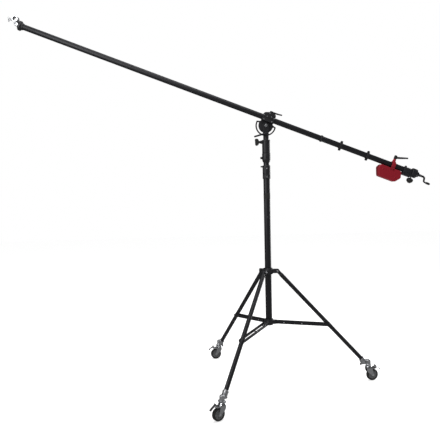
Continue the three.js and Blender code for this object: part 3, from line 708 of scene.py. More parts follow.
def ramp(w, value, low, high, start=0.0, end=1.0):
    return w.node("ShaderNodeMapRange", {0: value, 1: low, 2: high, 3: start, 4: end}).outputs[0]


def make_grain_group():
    """Fine surface texture as a height, and slow patches as a value."""
    group = shader_group("surface_grain", [("Fine Scale", 900.0), ("Patch Scale", 14.0)],
                         ["Height", "Patch"])
    w = Wires(group)
    given = group.nodes["Group Input"].outputs
    fine = object_noise(w, given["Fine Scale"], 4.0)
    patch = object_noise(w, given["Patch Scale"], 2.0)
    out = group.nodes["Group Output"].inputs
    w.feed(out["Height"], fine)
    w.feed(out["Patch"], ramp(w, patch, 0.3, 0.7))


def make_wear_group():
    """A mask of rubbed corners, broken up by noise."""
    group = shader_group("edge_wear", [("Reach", 0.06), ("Breakup", 160.0)], ["Mask"])
    w = Wires(group)
    given = group.nodes["Group Input"].outputs
    sharp = w.node("ShaderNodeNewGeometry").outputs["Pointiness"]
    start = w.math("ADD", 0.5, w.math("MULTIPLY", given["Reach"], 0.5))
    edge = w.node("ShaderNodeMapRange", {0: sharp, 1: start,
                                         2: w.math("ADD", start, given["Reach"])}).outputs[0]
    rough = ramp(w, object_noise(w, given["Breakup"], 4.0), 0.42, 0.62)
    w.feed(group.nodes["Group Output"].inputs["Mask"], w.math("MULTIPLY", edge, rough))


def make_dust_group():
    """A mask of fine dust on faces that look up."""
    group = shader_group("settled_dust", [("Amount", 0.2)], ["Mask"])
    w = Wires(group)
    given = group.nodes["Group Input"].outputs
    normal = w.node("ShaderNodeNewGeometry").outputs["Normal"]
    up = w.node("ShaderNodeSeparateXYZ", {0: normal}).outputs["Z"]
    facing = ramp(w, up, 0.35, 1.0)
    uneven = ramp(w, object_noise(w, 35.0, 5.0), 0.35, 0.75, 0.3, 1.0)
    amount = w.math("MULTIPLY", w.math("MULTIPLY", facing, uneven), given["Amount"])
    w.feed(group.nodes["Group Output"].inputs["Mask"], amount)


def make_scuff_group():
    """A mask of fine rubbed streaks where tubes slide and hands hold."""
    group = shader_group("rubbed_streaks", [("Scale", 60.0), ("Amount", 0.5)], ["Mask"])
    w = Wires(group)
    given = group.nodes["Group Input"].outputs
    lines = object_noise(w, given["Scale"], 5.0, (0.15, 3.0, 0.15))
    mask = ramp(w, lines, 0.52, 0.72)
    w.feed(group.nodes["Group Output"].inputs["Mask"], w.math("MULTIPLY", mask, given["Amount"]))


def add_group(w, name, **values):
    node = w.tree.nodes.new("ShaderNodeGroup")
    node.node_tree = bpy.data.node_groups[name]
    for label, value in values.items():
        w.feed(node.inputs[label.replace("_", " ")], value)
    return node.outputs


def blend_colour(w, mask, first, second):
    node = w.node("ShaderNodeMix", data_type="RGBA")
    w.feed(node.inputs[0], mask)
    w.feed(node.inputs[6], first)
    w.feed(node.inputs[7], second)
    return node.outputs[2]


def colour(value):
    return (*value, 1.0)


def finish(name, base, shade, metallic, roughness, spread, fine, bump, wear=None, dust=0.0, streaks=0.0,
           coat=0.0, coat_roughness=0.1, specular=0.5):
    """A finish: colour that varies in slow patches, fine grain, rubbed edges, streaks and dust."""
    material = bpy.data.materials.new(name)
    material.use_nodes = True
    w = Wires(material.node_tree)
    shader = material.node_tree.nodes["Principled BSDF"]
    grain = add_group(w, "surface_grain", Fine_Scale=fine, Patch_Scale=16.0)
    tint = blend_colour(w, grain["Patch"], colour(base), colour(shade))
    rough = ramp(w, grain["Patch"], 0.0, 1.0, roughness - spread, roughness + spread)
    if streaks:
        rubbed = add_group(w, "rubbed_streaks", Scale=60.0, Amount=streaks)["Mask"]
        rough = w.math("ADD", rough, w.math("MULTIPLY", rubbed, 0.25))
    shader.inputs["Metallic"].default_value = metallic
    if wear:
        bare, reach = wear
        mask = add_group(w, "edge_wear", Reach=reach, Breakup=160.0)["Mask"]
        tint = blend_colour(w, mask, tint, colour(bare))
    if dust:
        film = add_group(w, "settled_dust", Amount=dust)["Mask"]
        tint = blend_colour(w, film, tint, colour((0.42, 0.41, 0.39)))
        rough = w.math("ADD", rough, w.math("MULTIPLY", film, 0.5))
    w.feed(shader.inputs["Base Color"], tint)
    w.feed(shader.inputs["Roughness"], w.math("MINIMUM", rough, 1.0))
    relief = w.node("ShaderNodeBump", {"Strength": bump, "Distance": 0.0001, "Height": grain["Height"]})
    w.feed(shader.inputs["Normal"], relief.outputs[0])
    shader.inputs["Coat Weight"].default_value = coat
    shader.inputs["Coat Roughness"].default_value = coat_roughness
    shader.inputs["Specular IOR Level"].default_value = specular


def make_finishes(sizes):
    make_grain_group()
    make_wear_group()
    make_dust_group()
    make_scuff_group()
    black = tuple(sizes.enamel_colour)
    red = tuple(sizes.weight_colour)
    silver = tuple(sizes.casting_colour)
    grey = (0.014, 0.014, 0.015)
    finish("black_paint", black, (0.0045, 0.0045, 0.005), 0.0, sizes.enamel_roughness, 0.03, 700.0,
           0.04, dust=0.02, streaks=0.25, coat=0.5, coat_roughness=0.05, specular=0.4)
    finish("black_casting", (0.006, 0.006, 0.0066), (0.004, 0.004, 0.0044), 0.0, 0.32, 0.06, 1100.0,
           0.30, wear=((0.009, 0.009, 0.010), 0.07), dust=0.02, coat=0.4,
           coat_roughness=0.2, specular=0.35)
    finish("black_plastic", (0.007, 0.007, 0.0075), (0.010, 0.010, 0.0105), 0.0, 0.50, 0.05, 1600.0,
           0.35, dust=0.03)
    finish("cast_silver", silver, (0.26, 0.265, 0.27), 0.2, 0.60, 0.08, 1300.0, 0.35,
           wear=((0.34, 0.345, 0.35), 0.05), dust=0.05)
    finish("bright_steel", (0.66, 0.67, 0.69), (0.56, 0.57, 0.59), 0.4, 0.36, 0.06, 900.0, 0.08,
           streaks=0.3)
    finish("red_paint", red, (red[0] * 0.7, red[1] * 0.7, red[2] * 0.7), 0.0, 0.34, 0.06, 500.0, 0.22,
           wear=((0.10, 0.008, 0.012), 0.09), dust=0.04, coat=0.25, coat_roughness=0.25)
    finish("tyre_rubber", (0.014, 0.014, 0.015), (0.024, 0.024, 0.024), 0.0, 0.72, 0.07, 1200.0, 0.5,
           dust=0.14)
    finish("hub_grey", (0.034, 0.035, 0.037), (0.026, 0.026, 0.028), 0.0, 0.45, 0.05, 1000.0, 0.2,
           dust=0.08)
    finish("dark_screw", (0.03, 0.03, 0.032), (0.05, 0.05, 0.052), 0.8, 0.38, 0.06, 800.0, 0.1)
    finish("silver_screw", (0.60, 0.61, 0.63), (0.50, 0.51, 0.53), 0.8, 0.30, 0.06, 800.0, 0.1)
    finish("lever_grey", (0.07, 0.072, 0.076), (0.05, 0.051, 0.054), 0.3, 0.38, 0.06, 900.0, 0.15,
           wear=(grey, 0.08))


# ---------------------------------------------------------------- column
def build_column():
    low, high = span("column_tube", COLUMN, 2)
    tube("lower_column", COLUMN, low, high, COLUMN_RADIUS, 2, "base", "black_paint", ["column_tube"])
    band = turned([(22.05, 1264), (22.5, 1264.8), (22.5, 1301.2), (22.05, 1302)], sides=72, soft=0.1)
    show("column_guard_band", band, COLUMN, "base", "black_plastic")
    bolts("column_rivet", COLUMN, [((0, -21.8, 1141), (0, -1, 0))], "base", "silver_screw", 1.8, 1)
    low, high = span("riser_lower", COLUMN, 2)
    tube("lower_riser", COLUMN, low, high, LOWER_RISER_RADIUS, 1.9, "riser_lower", "black_paint",
         ["riser_lower"])
    low, high = span("riser_upper", COLUMN, 2)
    tube("upper_riser", COLUMN, low, high, UPPER_RISER_RADIUS, 1.8, "riser_upper", "black_paint",
         ["riser_upper"])


def build_hub():
    low, high = span("brace_hub", COLUMN, 2)
    cup = turned([
        (0, low), (24, low), (31, low + 5), (31, high - 10), (29.5, high - 8), (29.5, high),
        (22.3, high), (22.3, low + 5), (0, low + 5)], soft=1.5)
    arms = [moved(plate(link(25.5, HUB_Z, 14, HUB_OUT, HUB_Z, 12.5), -13, 13, 2.5), spin(a))
            for a in leg_angles()]
    ribs_below = [moved(plate([(10, low + 1), (38, HUB_Z - 8), (38, HUB_Z), (10, HUB_Z)], -3, 3, 1),
                        spin(a + 60))
                  for a in leg_angles()]
    show("brace_hub_casting", cast(cup, *arms, *ribs_below, grain=1.1), COLUMN, "base", "black_casting",
         ["brace_hub"])
    pins = [moved(cross_pin(HUB_OUT, HUB_Z, 20), spin(a)) for a in leg_angles()]
    show("brace_hub_pins", together(*pins), COLUMN, "base", "silver_screw")
    for letter in LETTERS:
        spots = both_sides(18.7, (HUB_OUT, HUB_Z))
        bolts(f"hub_bolt_{letter}", SIDE[letter], spots, "base", "dark_screw", 7, 3.4)


def build_lock_collars():
    low, high = span("lower_lock_collar", COLUMN, 2)
    ledge = span("column_tube", COLUMN, 2)[1] + 0.3
    step = low + 26
    body = turned([
        (24.7, low), (26.2, low + 1.5), (26.2, step), (25.4, step + 1), (25.4, step + 3),
        (26.2, step + 4),
        (26.2, high - 4), (23.2, high), (19.6, high), (19.6, ledge), (22.3, ledge), (22.3, low)],
        sides=72)
    boss = carved(rod((-15, 0, high - 9), (-29, 0, high - 9), 7.5, 6, 1.2),
                  rod((0, 0, low), (0, 0, high + 5), 24, sides=64))
    show("lower_lock_casting", united(body, boss), COLUMN, "base", "black_casting",
         ["lower_lock_collar"])
    spots = [((0, -25.8, high - 22), (0, -1, 0)), ((0, -25.8, low + 12), (0, -1, 0))]
    bolts("lower_lock_rivets", COLUMN, spots, "base", "silver_screw", 4, 2, crown=0.55, recess=0.28)
    low, high = span("middle_lock_collar", COLUMN, 2)
    ledge = span("riser_lower", COLUMN, 2)[1] + 0.3
    body = turned([
        (22.5, low), (27.4, low + 16), (28, low + 20), (28, high - 2), (26, high), (17.1, high),
        (17.1, ledge), (19.6, ledge), (19.6, low)], sides=72)
    boss = carved(rod((-15, 0, low + 30), (-31, 0, low + 30), 10, 9, 1.5),
                  rod((0, 0, low), (0, 0, high), 23.5, sides=64))
    show("middle_lock_casting", united(body, boss), COLUMN, "riser_lower", "black_casting",
         ["middle_lock_collar"])
    bolts("middle_lock_rivet", COLUMN, [((0, -27.7, low + 34), (0, -1, 0))], "riser_lower",
          "dark_screw", 4, 2, crown=0.55, recess=0.3)
    low, high = span("top_receiver", COLUMN, 2)
    body = turned([
        (0, low + 11.3), (17.1, low + 11.3), (17.1, low), (24.5, low), (26.5, low + 2),
        (26.5, high - 10),
        (27.6, high - 8), (27.6, high - 1), (26.5, high), (14.4, high), (14.4, high - 70),
        (0, high - 70)], sides=72)
    boss = carved(rod((-16, 0, high - 14), (-38, 0, high - 14), 12.5, 11, 1.5),
                  rod((0, 0, low), (0, 0, high), 20, sides=64))
    show("receiver_casting", united(body, boss), COLUMN, "riser_upper", "black_casting",
         ["top_receiver"])
    bolts("receiver_screw", COLUMN, [((0, -26.2, high - 20), (0, -1, 0))], "riser_upper", "dark_screw",
          3.5, 2)


def build_lock_knobs():
    low, high = span("lower_lock_knob", COLUMN, 2)
    z = (low + high) / 2
    stem = rod((-20.3, 0, z), (-33, 0, z), 3)
    cap = moved(turned([(0, -39.5), (3.6, -39), (5, -37), (5, -32), (4, -30), (0, -30)], "X", 32),
                at(0, 0, z))
    show("lower_lock_thumbscrew", united(cap, stem), COLUMN, "lower_lock_knob", "black_plastic",
         ["lower_lock_knob"])
    low, high = span("middle_lock_knob", COLUMN, 2)
    z = (low + high) / 2
    stem = rod((-17.5, 0, z), (-34, 0, z), 3.5)
    cap = moved(turned([(0, -40.5), (6, -40), (7.6, -38), (7.6, -34), (6, -32), (0, -32)], "X", 32),
                at(0, 0, z))
    grip = moved(ribs(14, 7.5, 0.9, 5, "X"), at(-36, 0, z))
    show("middle_lock_thumbscrew", together(united(cap, stem), grip), COLUMN, "middle_lock_knob",
         "black_plastic", ["middle_lock_knob"])
    low, high = span("receiver_knob", COLUMN, 2)
    z = inside(COLUMN, pivot("receiver_knob_turn")).z
    collar = moved(turned([(0, -54), (8, -54), (9, -50), (8, -39), (0, -39)], "X", 40, 1.5),
                   at(0, 0, z))
    stem = rod((-15.5, 0, z), (-50, 0, z), 4)
    wing = softened([(-47, z - 8), (-47, z + 8), (-53, z + 22), (-69, high - 0.5), (-75, z + 19),
                     (-72, z - 19), (-66, low + 0.5), (-53, z - 21)], 5)
    wings = plate(wing, -7.5, 7.5, 3.2)
    show("receiver_wing_knob", cast(collar, wings, stem, grain=0.8, smoothing=5), COLUMN,
         "receiver_knob", "black_plastic", ["receiver_knob"])


# ---------------------------------------------------------------- base
def build_leg_collar():
    z = COLLAR_Z
    ring = turned([(32, z - 20), (32, z + 17), (29, z + 22), (22.8, z + 22), (22.8, z - 20)], sides=72,
                  soft=2)
    arms = []
    for angle in leg_angles():
        for y in (-15, 9):
            arms.append(moved(plate(link(38.5, z, 14, LEG_OUT, z, 14), y, y + 6, 1.8), spin(angle)))
        arms.append(moved(box(26, 41, -15, 15, z - 14, z + 14, 2), spin(angle)))
    boss = rod((-26, 0, z + 6), (-42, 0, z + 6), 11.5, 10, 1.5)
    show("leg_collar_casting", cast(ring, *arms, boss, grain=1.1), COLUMN, "leg_collar",
         "black_casting", ["leg_collar"])
    pins = [moved(cross_pin(LEG_OUT, z, 17), spin(a)) for a in leg_angles()]
    show("leg_collar_pins", together(*pins), COLUMN, "leg_collar", "silver_screw")
    for letter in LETTERS:
        spots = both_sides(15, (LEG_OUT, z))
        bolts(f"leg_bolt_{letter}", SIDE[letter], spots, "leg_collar", "silver_screw", 6.5, 3.6)
    knob_z = z + 6
    cap = turned([(0, -61), (11, -61), (14.5, -58), (14.5, -47), (10, -43), (0, -43)], "X", 56, 1.5)
    stem = rod((-24, 0, 0), (-46, 0, 0), 4)
    flutes = moved(ribs(20, 14.2, 1.4, 12, "X"), at(-52.5))
    knob = moved(together(united(cap, stem), flutes), at(0, 0, knob_z))
    show("leg_collar_knob", knob, COLUMN, "collar_knob", "black_plastic", ["collar_knob"])


def build_legs():
    for letter in LETTERS:
        where, body = LEG[letter], f"leg_{letter}"
        tube(f"leg_{letter}_tube", where, 34, LEG_LENGTH, LEG_RADIUS, 1.5, body, "black_paint",
             [f"leg_tube_{letter}"], "X")
        tongue = plate(link(0, 0, 12, 44, 0, 12), -8.4, 8.4, 2)
        neck = turned([(0, 30), (12.6, 30), (14.4, 34), (14.4, 40), (12.4, 41), (12.4, 60), (0, 60)],
                      "X", 48, 1.2)
        show(f"leg_{letter}_plug", united(neck, tongue), where, body, "black_casting")
        band = turned([(14.05, BRACE_JOIN - 13), (15.3, BRACE_JOIN - 13), (15.3, BRACE_JOIN + 13),
                       (14.05, BRACE_JOIN + 13)], "X", 48, 0.4)
        pin = cross_pin(BRACE_JOIN, 0, 19)
        show(f"leg_{letter}_saddle", together(band, pin), where, body, "black_casting")
        spots = both_sides(18.8, (BRACE_JOIN, 0))
        bolts(f"leg_{letter}_saddle_bolts", where, spots, body, "dark_screw", 6, 3)


def build_braces():
    for letter in LETTERS:
        where, body = BRACE[letter], f"brace_{letter}"
        outline = link(0, 0, 10, BRACE_LENGTH, 0, 10, 16)
        bars = [plate(outline, 15.6, 18.6, 0.8), plate(outline, -18.6, -15.6, 0.8)]
        show(f"brace_{letter}_bars", together(*bars), where, body, "black_paint", [f"brace_{letter}"])
        posts = [turned([(0, -16.2), (5, -16.2), (5, -13), (3.6, -11), (3.6, 11), (5, 13), (5, 16.2),
                         (0, 16.2)],
                        "Y", 28, 0.5) for _ in range(2)]
        spread = [moved(post, at(x)) for post, x in zip(posts, SPACERS)]
        show(f"brace_{letter}_spacers", together(*spread), where, body, "black_casting")
        spots = both_sides(18.4, *((x, 0) for x in SPACERS))
        bolts(f"brace_{letter}_rivets", where, spots, body, "silver_screw", 4, 1.8, crown=0.6,
              recess=0.2)


def build_caster_sockets():
    low, _ = span("caster_socket_a", SIDE["a"], 2)
    for letter in LETTERS:
        where, body = SIDE[letter], f"leg_{letter}"
        leg_side = where.inverted() @ LEG[letter]
        foot = leg_side @ Vector((LEG_LENGTH, 0, 0))
        sleeve = moved(turned([
            (0, LEG_LENGTH - 30), (18, LEG_LENGTH - 30), (19, LEG_LENGTH - 28), (19, LEG_LENGTH - 20),
            (17.6, LEG_LENGTH - 17), (18.6, LEG_LENGTH + 4), (15, LEG_LENGTH + 16),
            (0, LEG_LENGTH + 18)],
            "X", 48, 2), leg_side)
        barrel = turned([(0, low), (18, low), (18, low + 10), (15.5, low + 14), (15, low + 38),
                         (9, low + 44), (0, low + 44)], "Z", 48, 2)
        barrel = moved(barrel, at(CASTER_OUT))
        wings = moved(plate(link(-18, 0, 9, 18, 0, 9), low + 0.5, low + 10, 1.5),
                      at(CASTER_OUT) @ Matrix(((0, 0, 1, 0), (1, 0, 0, 0), (0, 1, 0, 0), (0, 0, 0, 1))))
        web = plate([(foot.x - 18, foot.z + 22), (foot.x + 4, foot.z + 20), (CASTER_OUT + 13, low + 36),
                     (CASTER_OUT + 14, low + 12), (CASTER_OUT - 14, low + 8),
                     (foot.x - 24, foot.z - 6)], -5, 5, 2)
        lug = moved(box(-22, 10, -6, 6, -24, -12, 2.5), leg_side @ at(LEG_LENGTH))
        casting = cast(sleeve, barrel, wings, web, lug, grain=1.15, smoothing=7)
        show(f"socket_{letter}_casting", casting, where, body, "cast_silver",
             [f"caster_socket_{letter}"])
        screw = turned([(0, -10), (4, -10), (4, 0), (6.4, 1), (6.4, 10), (4.8, 12), (0, 12)], "Z", 24,
                       0.8)
        flutes = moved(ribs(12, 6.3, 0.8, 8), at(0, 0, 5.5))
        aim = Matrix.Rotation(math.pi, 4, "X")
        show(f"socket_{letter}_screw", moved(together(screw, flutes), at(LEG_LENGTH - 2, 0, -24) @ aim),
             LEG[letter], body, "black_plastic")
        spots = [((CASTER_OUT, side * 19, low + 9.4), (0, 0, 1)) for side in (-1, 1)]
        bolts(f"socket_{letter}_bolts", where, spots, body, "silver_screw", 4.5, 3.4, facets=6,
              crown=0.15, recess=0.0)
        turn = leg_side.to_3x3()
        spots = [(leg_side @ Vector((LEG_LENGTH + x, -17.6, 4)), turn @ Vector((0, -1, 0)))
                 for x in (-23, 4)]
        bolts(f"socket_{letter}_screws", where, spots, body, "dark_screw", 3, 2)


# ---------------------------------------------------------------- casters
def build_forks():
    _, top = span("caster_fork_a", CASTER["a"], 2)
    deck = 86
    for letter in LETTERS:
        where, body = CASTER[letter], f"caster_{letter}"
        outline = softened([(-17, deck + 3), (-17, deck - 12), (-9, deck - 28)], 5, closed=False)
        outline += arc(TRAIL, WHEEL_RADIUS, 10.5, 190, 385, 14)
        outline += softened([(TRAIL - 1, WHEEL_RADIUS + 26), (TRAIL - 4, deck - 5), (47, deck - 3),
                             (47, deck + 3)],
                            4, closed=False)
        cheeks = [plate(outline, -17.8, -14.6, 0.9), plate(outline, 14.6, 17.8, 0.9)]
        plan = softened([(-17, -17.8), (47, -17.8), (47, 17.8), (-17, 17.8)], 9)
        roof = moved(plate(plan, deck, deck + 3.2, 0.9),
                     Matrix(((1, 0, 0, 0), (0, 0, 1, 0), (0, 1, 0, 0), (0, 0, 0, 1))))
        bmesh.ops.recalc_face_normals(roof, faces=roof.faces)
        ears = [plate(link(42, deck + 2, 6, PEDAL.x, PEDAL.z, 5), y, y + 3, 0.8) for y in (-13, 10)]
        show(f"fork_{letter}", cast(*cheeks, roof, *ears, grain=0.85, smoothing=3), where, body,
             "bright_steel", [f"caster_fork_{letter}"])
        cup = turned([
            (0, deck + 1), (22, deck + 1), (24.5, deck + 3.5), (24.5, deck + 6), (22.5, deck + 8.5),
            (22.5, deck + 9.5), (23.4, deck + 10.5), (23.4, deck + 12), (20.5, deck + 15),
            (19, deck + 17.2), (0, deck + 17.2)], "Z", 56, 0.8)
        stem = rod((0, 0, deck + 16), (0, 0, top), 6)
        show(f"swivel_{letter}", together(cup, stem), where, body, "bright_steel")
        axle = cross_pin(TRAIL, WHEEL_RADIUS, 18, 4.5)
        hinge = cross_pin(PEDAL.x, PEDAL.z, 14, 2.4)
        show(f"axle_{letter}", together(axle, hinge), where, body, "silver_screw")
        spots = both_sides(17.6, (TRAIL, WHEEL_RADIUS))
        bolts(f"axle_nuts_{letter}", where, spots, body, "silver_screw", 7.5, 4, facets=6, crown=0.12,
              recess=0.0)
        spots = both_sides(12.8, (PEDAL.x, PEDAL.z))
        bolts(f"pedal_rivets_{letter}", where, spots, body, "silver_screw", 3.6, 1.6, crown=0.5,
              recess=0.2)


def build_pedals():
    x, z = PEDAL.x, PEDAL.z
    for letter in LETTERS:
        where, body = CASTER[letter], f"pedal_{letter}"
        path = [(x - 4, z + 14), (x - 4, z + 5), (x + 4, z + 3), (x + 14, z - 4), (x + 28, z - 15),
                (x + 29.5, z - 20)]
        blade = plate(strip(path, 2.6), -9.6, 9.6, 0.8)
        sleeve = cross_pin(x, z, 9.4, 4.6)
        show(f"pedal_{letter}_blade", cast(blade, sleeve, grain=0.7, smoothing=2), where, body,
             "bright_steel", [f"brake_pedal_{letter}"])
        tab = softened([(x - 6.8, z + 5), (x - 1.2, z + 5.5), (x - 0.6, z + 13.5), (x - 3.5, z + 15.8),
                        (x - 7.4, z + 14)], 2)
        pad = softened([(x + 17, z - 4.2), (x + 30, z - 14.6), (x + 31.8, z - 19.6), (x + 30, z - 19.8),
                        (x + 27.4, z - 14), (x + 16, z - 5.6)], 1.2)
        show(f"pedal_{letter}_pads", together(plate(tab, -9, 9, 1.2), plate(pad, -9, 9, 0.5)), where,
             body, "black_plastic")


def build_wheels():
    for letter in LETTERS:
        where = CASTER[letter] @ at(TRAIL, 0, WHEEL_RADIUS)
        body = f"wheel_{letter}"
        half = [(28.2, 10.3), (34, 12.5), (37.6, 11.6), (40, 7.5), (40, 4.6), (39.2, 4.2), (39.2, 3.6),
                (40, 3.2)]
        tread = [(r, -y) for r, y in half] + [(r, y) for r, y in reversed(half)]
        show(f"tyre_{letter}", turned(tread, "Y", 96, 0.8), where, body, "tyre_rubber",
             [f"wheel_tyre_{letter}"])
        face = [(5.2, 14), (8.6, 14), (10, 12.6), (10, 5), (13, 3.2), (22.5, 3.2), (25, 5), (25.4, 9.6),
                (27.9, 9.9)]
        centre = turned([(r, -y) for r, y in face] + [(r, y) for r, y in reversed(face)], "Y", 64, 0.6)
        webs = as_shape(grown("wheel_webs", {
            "Count": 8, "Inner": 9.0, "Outer": 25.8, "Thickness": 2.2, "Depth": 15.0,
            "Finish": bpy.data.materials["hub_grey"]}))
        show(f"wheel_{letter}_centre", together(centre, moved(webs, LAY_ALONG_Y)), where, body,
             "hub_grey", [f"wheel_hub_{letter}"])


# ---------------------------------------------------------------- head
CHEEK_FACE = 13.2  # outside of the yoke's cheeks from the middle


def build_yoke():
    low, _ = span("head_yoke", HEAD, 2)
    foot = low + 66
    post = turned([
        (0, low), (13, low), (13.9, low + 1.5), (13.9, foot + 0.4), (18, foot + 0.4), (18, foot + 6),
        (16, foot + 8), (16, -76), (0, -72)], "Z", 56, 1)
    parts = [post, box(-17, 17, -CHEEK_FACE, CHEEK_FACE, -90, -73, 3)]
    for y in (-CHEEK_FACE, 5.2):
        parts.append(plate(link(0, 0, 22, 0, -70, 17), y, y + 8, 2))
        parts.append(box(-17, 17, y, y + 8, -88, -66, 2))
    show("head_yoke_casting", cast(*parts, grain=1.1, smoothing=6), HEAD, "head", "black_casting",
         ["head_yoke"])
    face = -CHEEK_FACE
    cap = turned([(0, face - 8), (7, face - 8), (9, face - 6.8), (10, face - 4), (10, face - 0.3),
                  (0, face - 0.3)], "Y", 56, 0.8)
    key = rod((0, face - 12, 0), (0, face - 4.5, 0), 4.2, sides=6, soft=0)
    shank = rod((0, face - 1, 0), (0, 15, 0), 6)
    nut = rod((0, 13.5, 0), (0, 21, 0), 10, 9.4, 1, sides=6)
    show("tilt_pivot_bolt", together(carved(cap, key), shank, nut), HEAD, "head", "silver_screw",
         ["tilt_bolt"])


def build_tilt_lever():
    z = inside(HEAD, pivot("tilt_lock_turn")).z
    face = -CHEEK_FACE
    hub = moved(turned([(0, face - 14), (8, face - 14), (10, face - 12), (10, face - 2),
                        (9, face - 0.3), (0, face - 0.3)], "Y", 48, 1), at(0, 0, z))
    y = face - 9.5
    path = [(-2, y, z - 1), (-24, y, z - 4.5), (-50, y, z - 11.5), (-79, y, z - 19.5)]
    arm = swept(path, (4.4, 4.3, 4.2, 4.0), flat=1.4)
    stud = rod((0, face - 3, z), (0, 19, z), 4.4)
    nut = moved(rod((0, 13.5, 0), (0, 20, 0), 8, 7.4, 1, sides=6), at(0, 0, z))
    show("tilt_lock_handle", together(cast(hub, arm, grain=0.8, smoothing=5), stud, nut), HEAD,
         "tilt_lock_lever", "black_paint", ["tilt_lock_lever"])


CLAMP = {"half": 42, "width": 27, "bottom": -24.6, "top": 40}


def build_quadrant():
    slot_middle, slot_half, rim = 54.5, 5.5, 69
    seat = BOOM_RISE + CLAMP["bottom"] - 0.3
    outline = arc(0, 0, rim, 171, 369, 72)
    outline += [(46, 17), (41, seat - 2), (40, seat), (-40, seat), (-41, seat - 2), (-46, 17)]
    slot = arc(0, 0, slot_middle + slot_half, 180, 360, 64)
    slot += arc(slot_middle, 0, slot_half, 0, 180, 10)[1:]
    slot += arc(0, 0, slot_middle - slot_half, 360, 180, 64)[1:]
    slot += arc(-slot_middle, 0, slot_half, 0, 180, 10)[1:-1]
    show("slotted_quadrant", plate(outline, -4, 4, 1.2, [slot]), TILTED, "boom_cradle", "black_casting",
         ["tilt_quadrant"])


def build_clamp():
    half, width, bottom, top = (CLAMP[k] for k in ("half", "width", "bottom", "top"))
    section = [(-width, -0.4)] + softened([(-width, -0.4), (-width, bottom), (width, bottom),
                                           (width, -0.4)], 6,
                                         closed=False)[1:-1] + [(width, -0.4)]
    section += [(y, z - 0.4) for y, z in arc(0, 0, BOOM_RADIUS + 0.3, 0, -180, 32)]
    cradle = plate_along_x(section, -half, half, 1.6)
    show("boom_cradle_casting", cradle, BOOM, "boom_cradle", "black_casting", ["boom_clamp"])
    outline = softened([
        (-half, 0.4), (half, 0.4), (half, 30), (half - 8, top - 2), (20, top), (-12, top),
        (-half + 8, 32), (-half, 24)], 5)
    cap = carved(plate(outline, -width, width, 3),
                 rod((-60, 0, 0), (60, 0, 0), BOOM_RADIUS + 0.3, sides=64),
                 box(-60, 60, -40, 40, -8, 0.4, 0.01))
    show("boom_cap_casting", cap, BOOM, "boom_cradle", "black_casting", ["clamp_cap"])
    front = [(-36, 12), (-14, 8), (16, 12), (36, 9), (-2, 33), (-28, -15), (28, -15)]
    spots = both_sides(width - 0.4, *front)
    bolts("cradle_screws", BOOM, spots, "boom_cradle", "silver_screw", 3.8, 2.6)
    hub = moved(turned([(0, top + 0.3), (12, top + 0.3), (12, top + 5), (10, top + 14), (0, top + 16)],
                       "Z", 48, 1.5),
                at(6))
    arm = swept([(6, 0, top + 8), (34, 0, top + 8.5), (58, 0, top + 10.5), (78, 0, top + 13)],
                (5, 4.6, 4, 3.6), flat=1.25)
    screw = rod((6, 0, top - 14), (6, 0, top + 5), 5)
    show("boom_clamp_handle", together(cast(hub, arm, grain=0.85, smoothing=5), screw), BOOM,
         "boom_clamp_lever", "black_paint", ["boom_clamp_lever"])


# ---------------------------------------------------------------- boom
def build_boom():
    low, high = span("boom_tube", BOOM, 0)
    tube("boom_bar", BOOM, low, high, BOOM_RADIUS, 1.9, "boom", "black_paint", ["boom_tube"], "X")
    low, high = span("boom_ring_1", BOOM, 0)
    ring = turned([(20.6, low), (22.4, low + 2.5), (22.4, high - 2.5), (20.6, high), (BOOM_SEAT, high),
                   (BOOM_SEAT, low)], "X", 64)
    show("boom_stop_ring", ring, BOOM, "boom", "black_casting", ["boom_ring_1"])
    for number in (2, 3):
        low, high = span(f"boom_ring_{number}", BOOM, 0)
        middle = (low + high) / 2
        band = turned([(22, low), (23, low + 1.5), (23, high - 1.5), (22, high), (BOOM_SEAT, high),
                       (BOOM_SEAT, low)], "X", 64)
        lugs = [plate(softened([(low + 1, s * 18.8), (high - 1, s * 18.8), (high - 2, s * 33),
                                (low + 2, s * 33)], 3),
                      -8, 8, 1.5) for s in (-1, 1)]
        show(f"boom_clamp_ring_{number}", united(band, *lugs), BOOM, "boom", "black_casting",
             [f"boom_ring_{number}"])
        spots = both_sides(7.8, (middle, -28), (middle, 28))
        bolts(f"clamp_ring_screws_{number}", BOOM, spots, "boom", "dark_screw", 4.2, 3)
    low, high = span("control_rod", BOOM, 0)
    tube("crank_rod", BOOM, low, high, 7, 1.5, "crank_shaft", "bright_steel", ["control_rod"], "X")


def build_tip_flange():
    low, high = span("tip_flange", BOOM, 0)
    tube_end = span("boom_tube", BOOM, 0)[0]
    bell = [(31 - 9.5 * math.sin(math.radians(a)),
             low + 17 + (high - low - 17) * (1 - math.cos(math.radians(a))))
            for a in range(0, 91, 15)]
    profile = [(27, low), (31, low + 4), *bell, (BOOM_SEAT, high), (BOOM_SEAT, tube_end - 0.3),
               (7.3, tube_end - 0.3), (7.3, low)]
    show("tip_bell", turned(profile, "X", 72, 1), BOOM, "boom", "black_casting", ["tip_flange"])
    spots = [((low + 0.4, 17 * math.cos(math.radians(a)), 17 * math.sin(math.radians(a))), (-1, 0, 0))
             for a in (45, 135, 225, 315)]
    bolts("tip_bell_screws", BOOM, spots, "boom", "dark_screw", 3.2, 2)


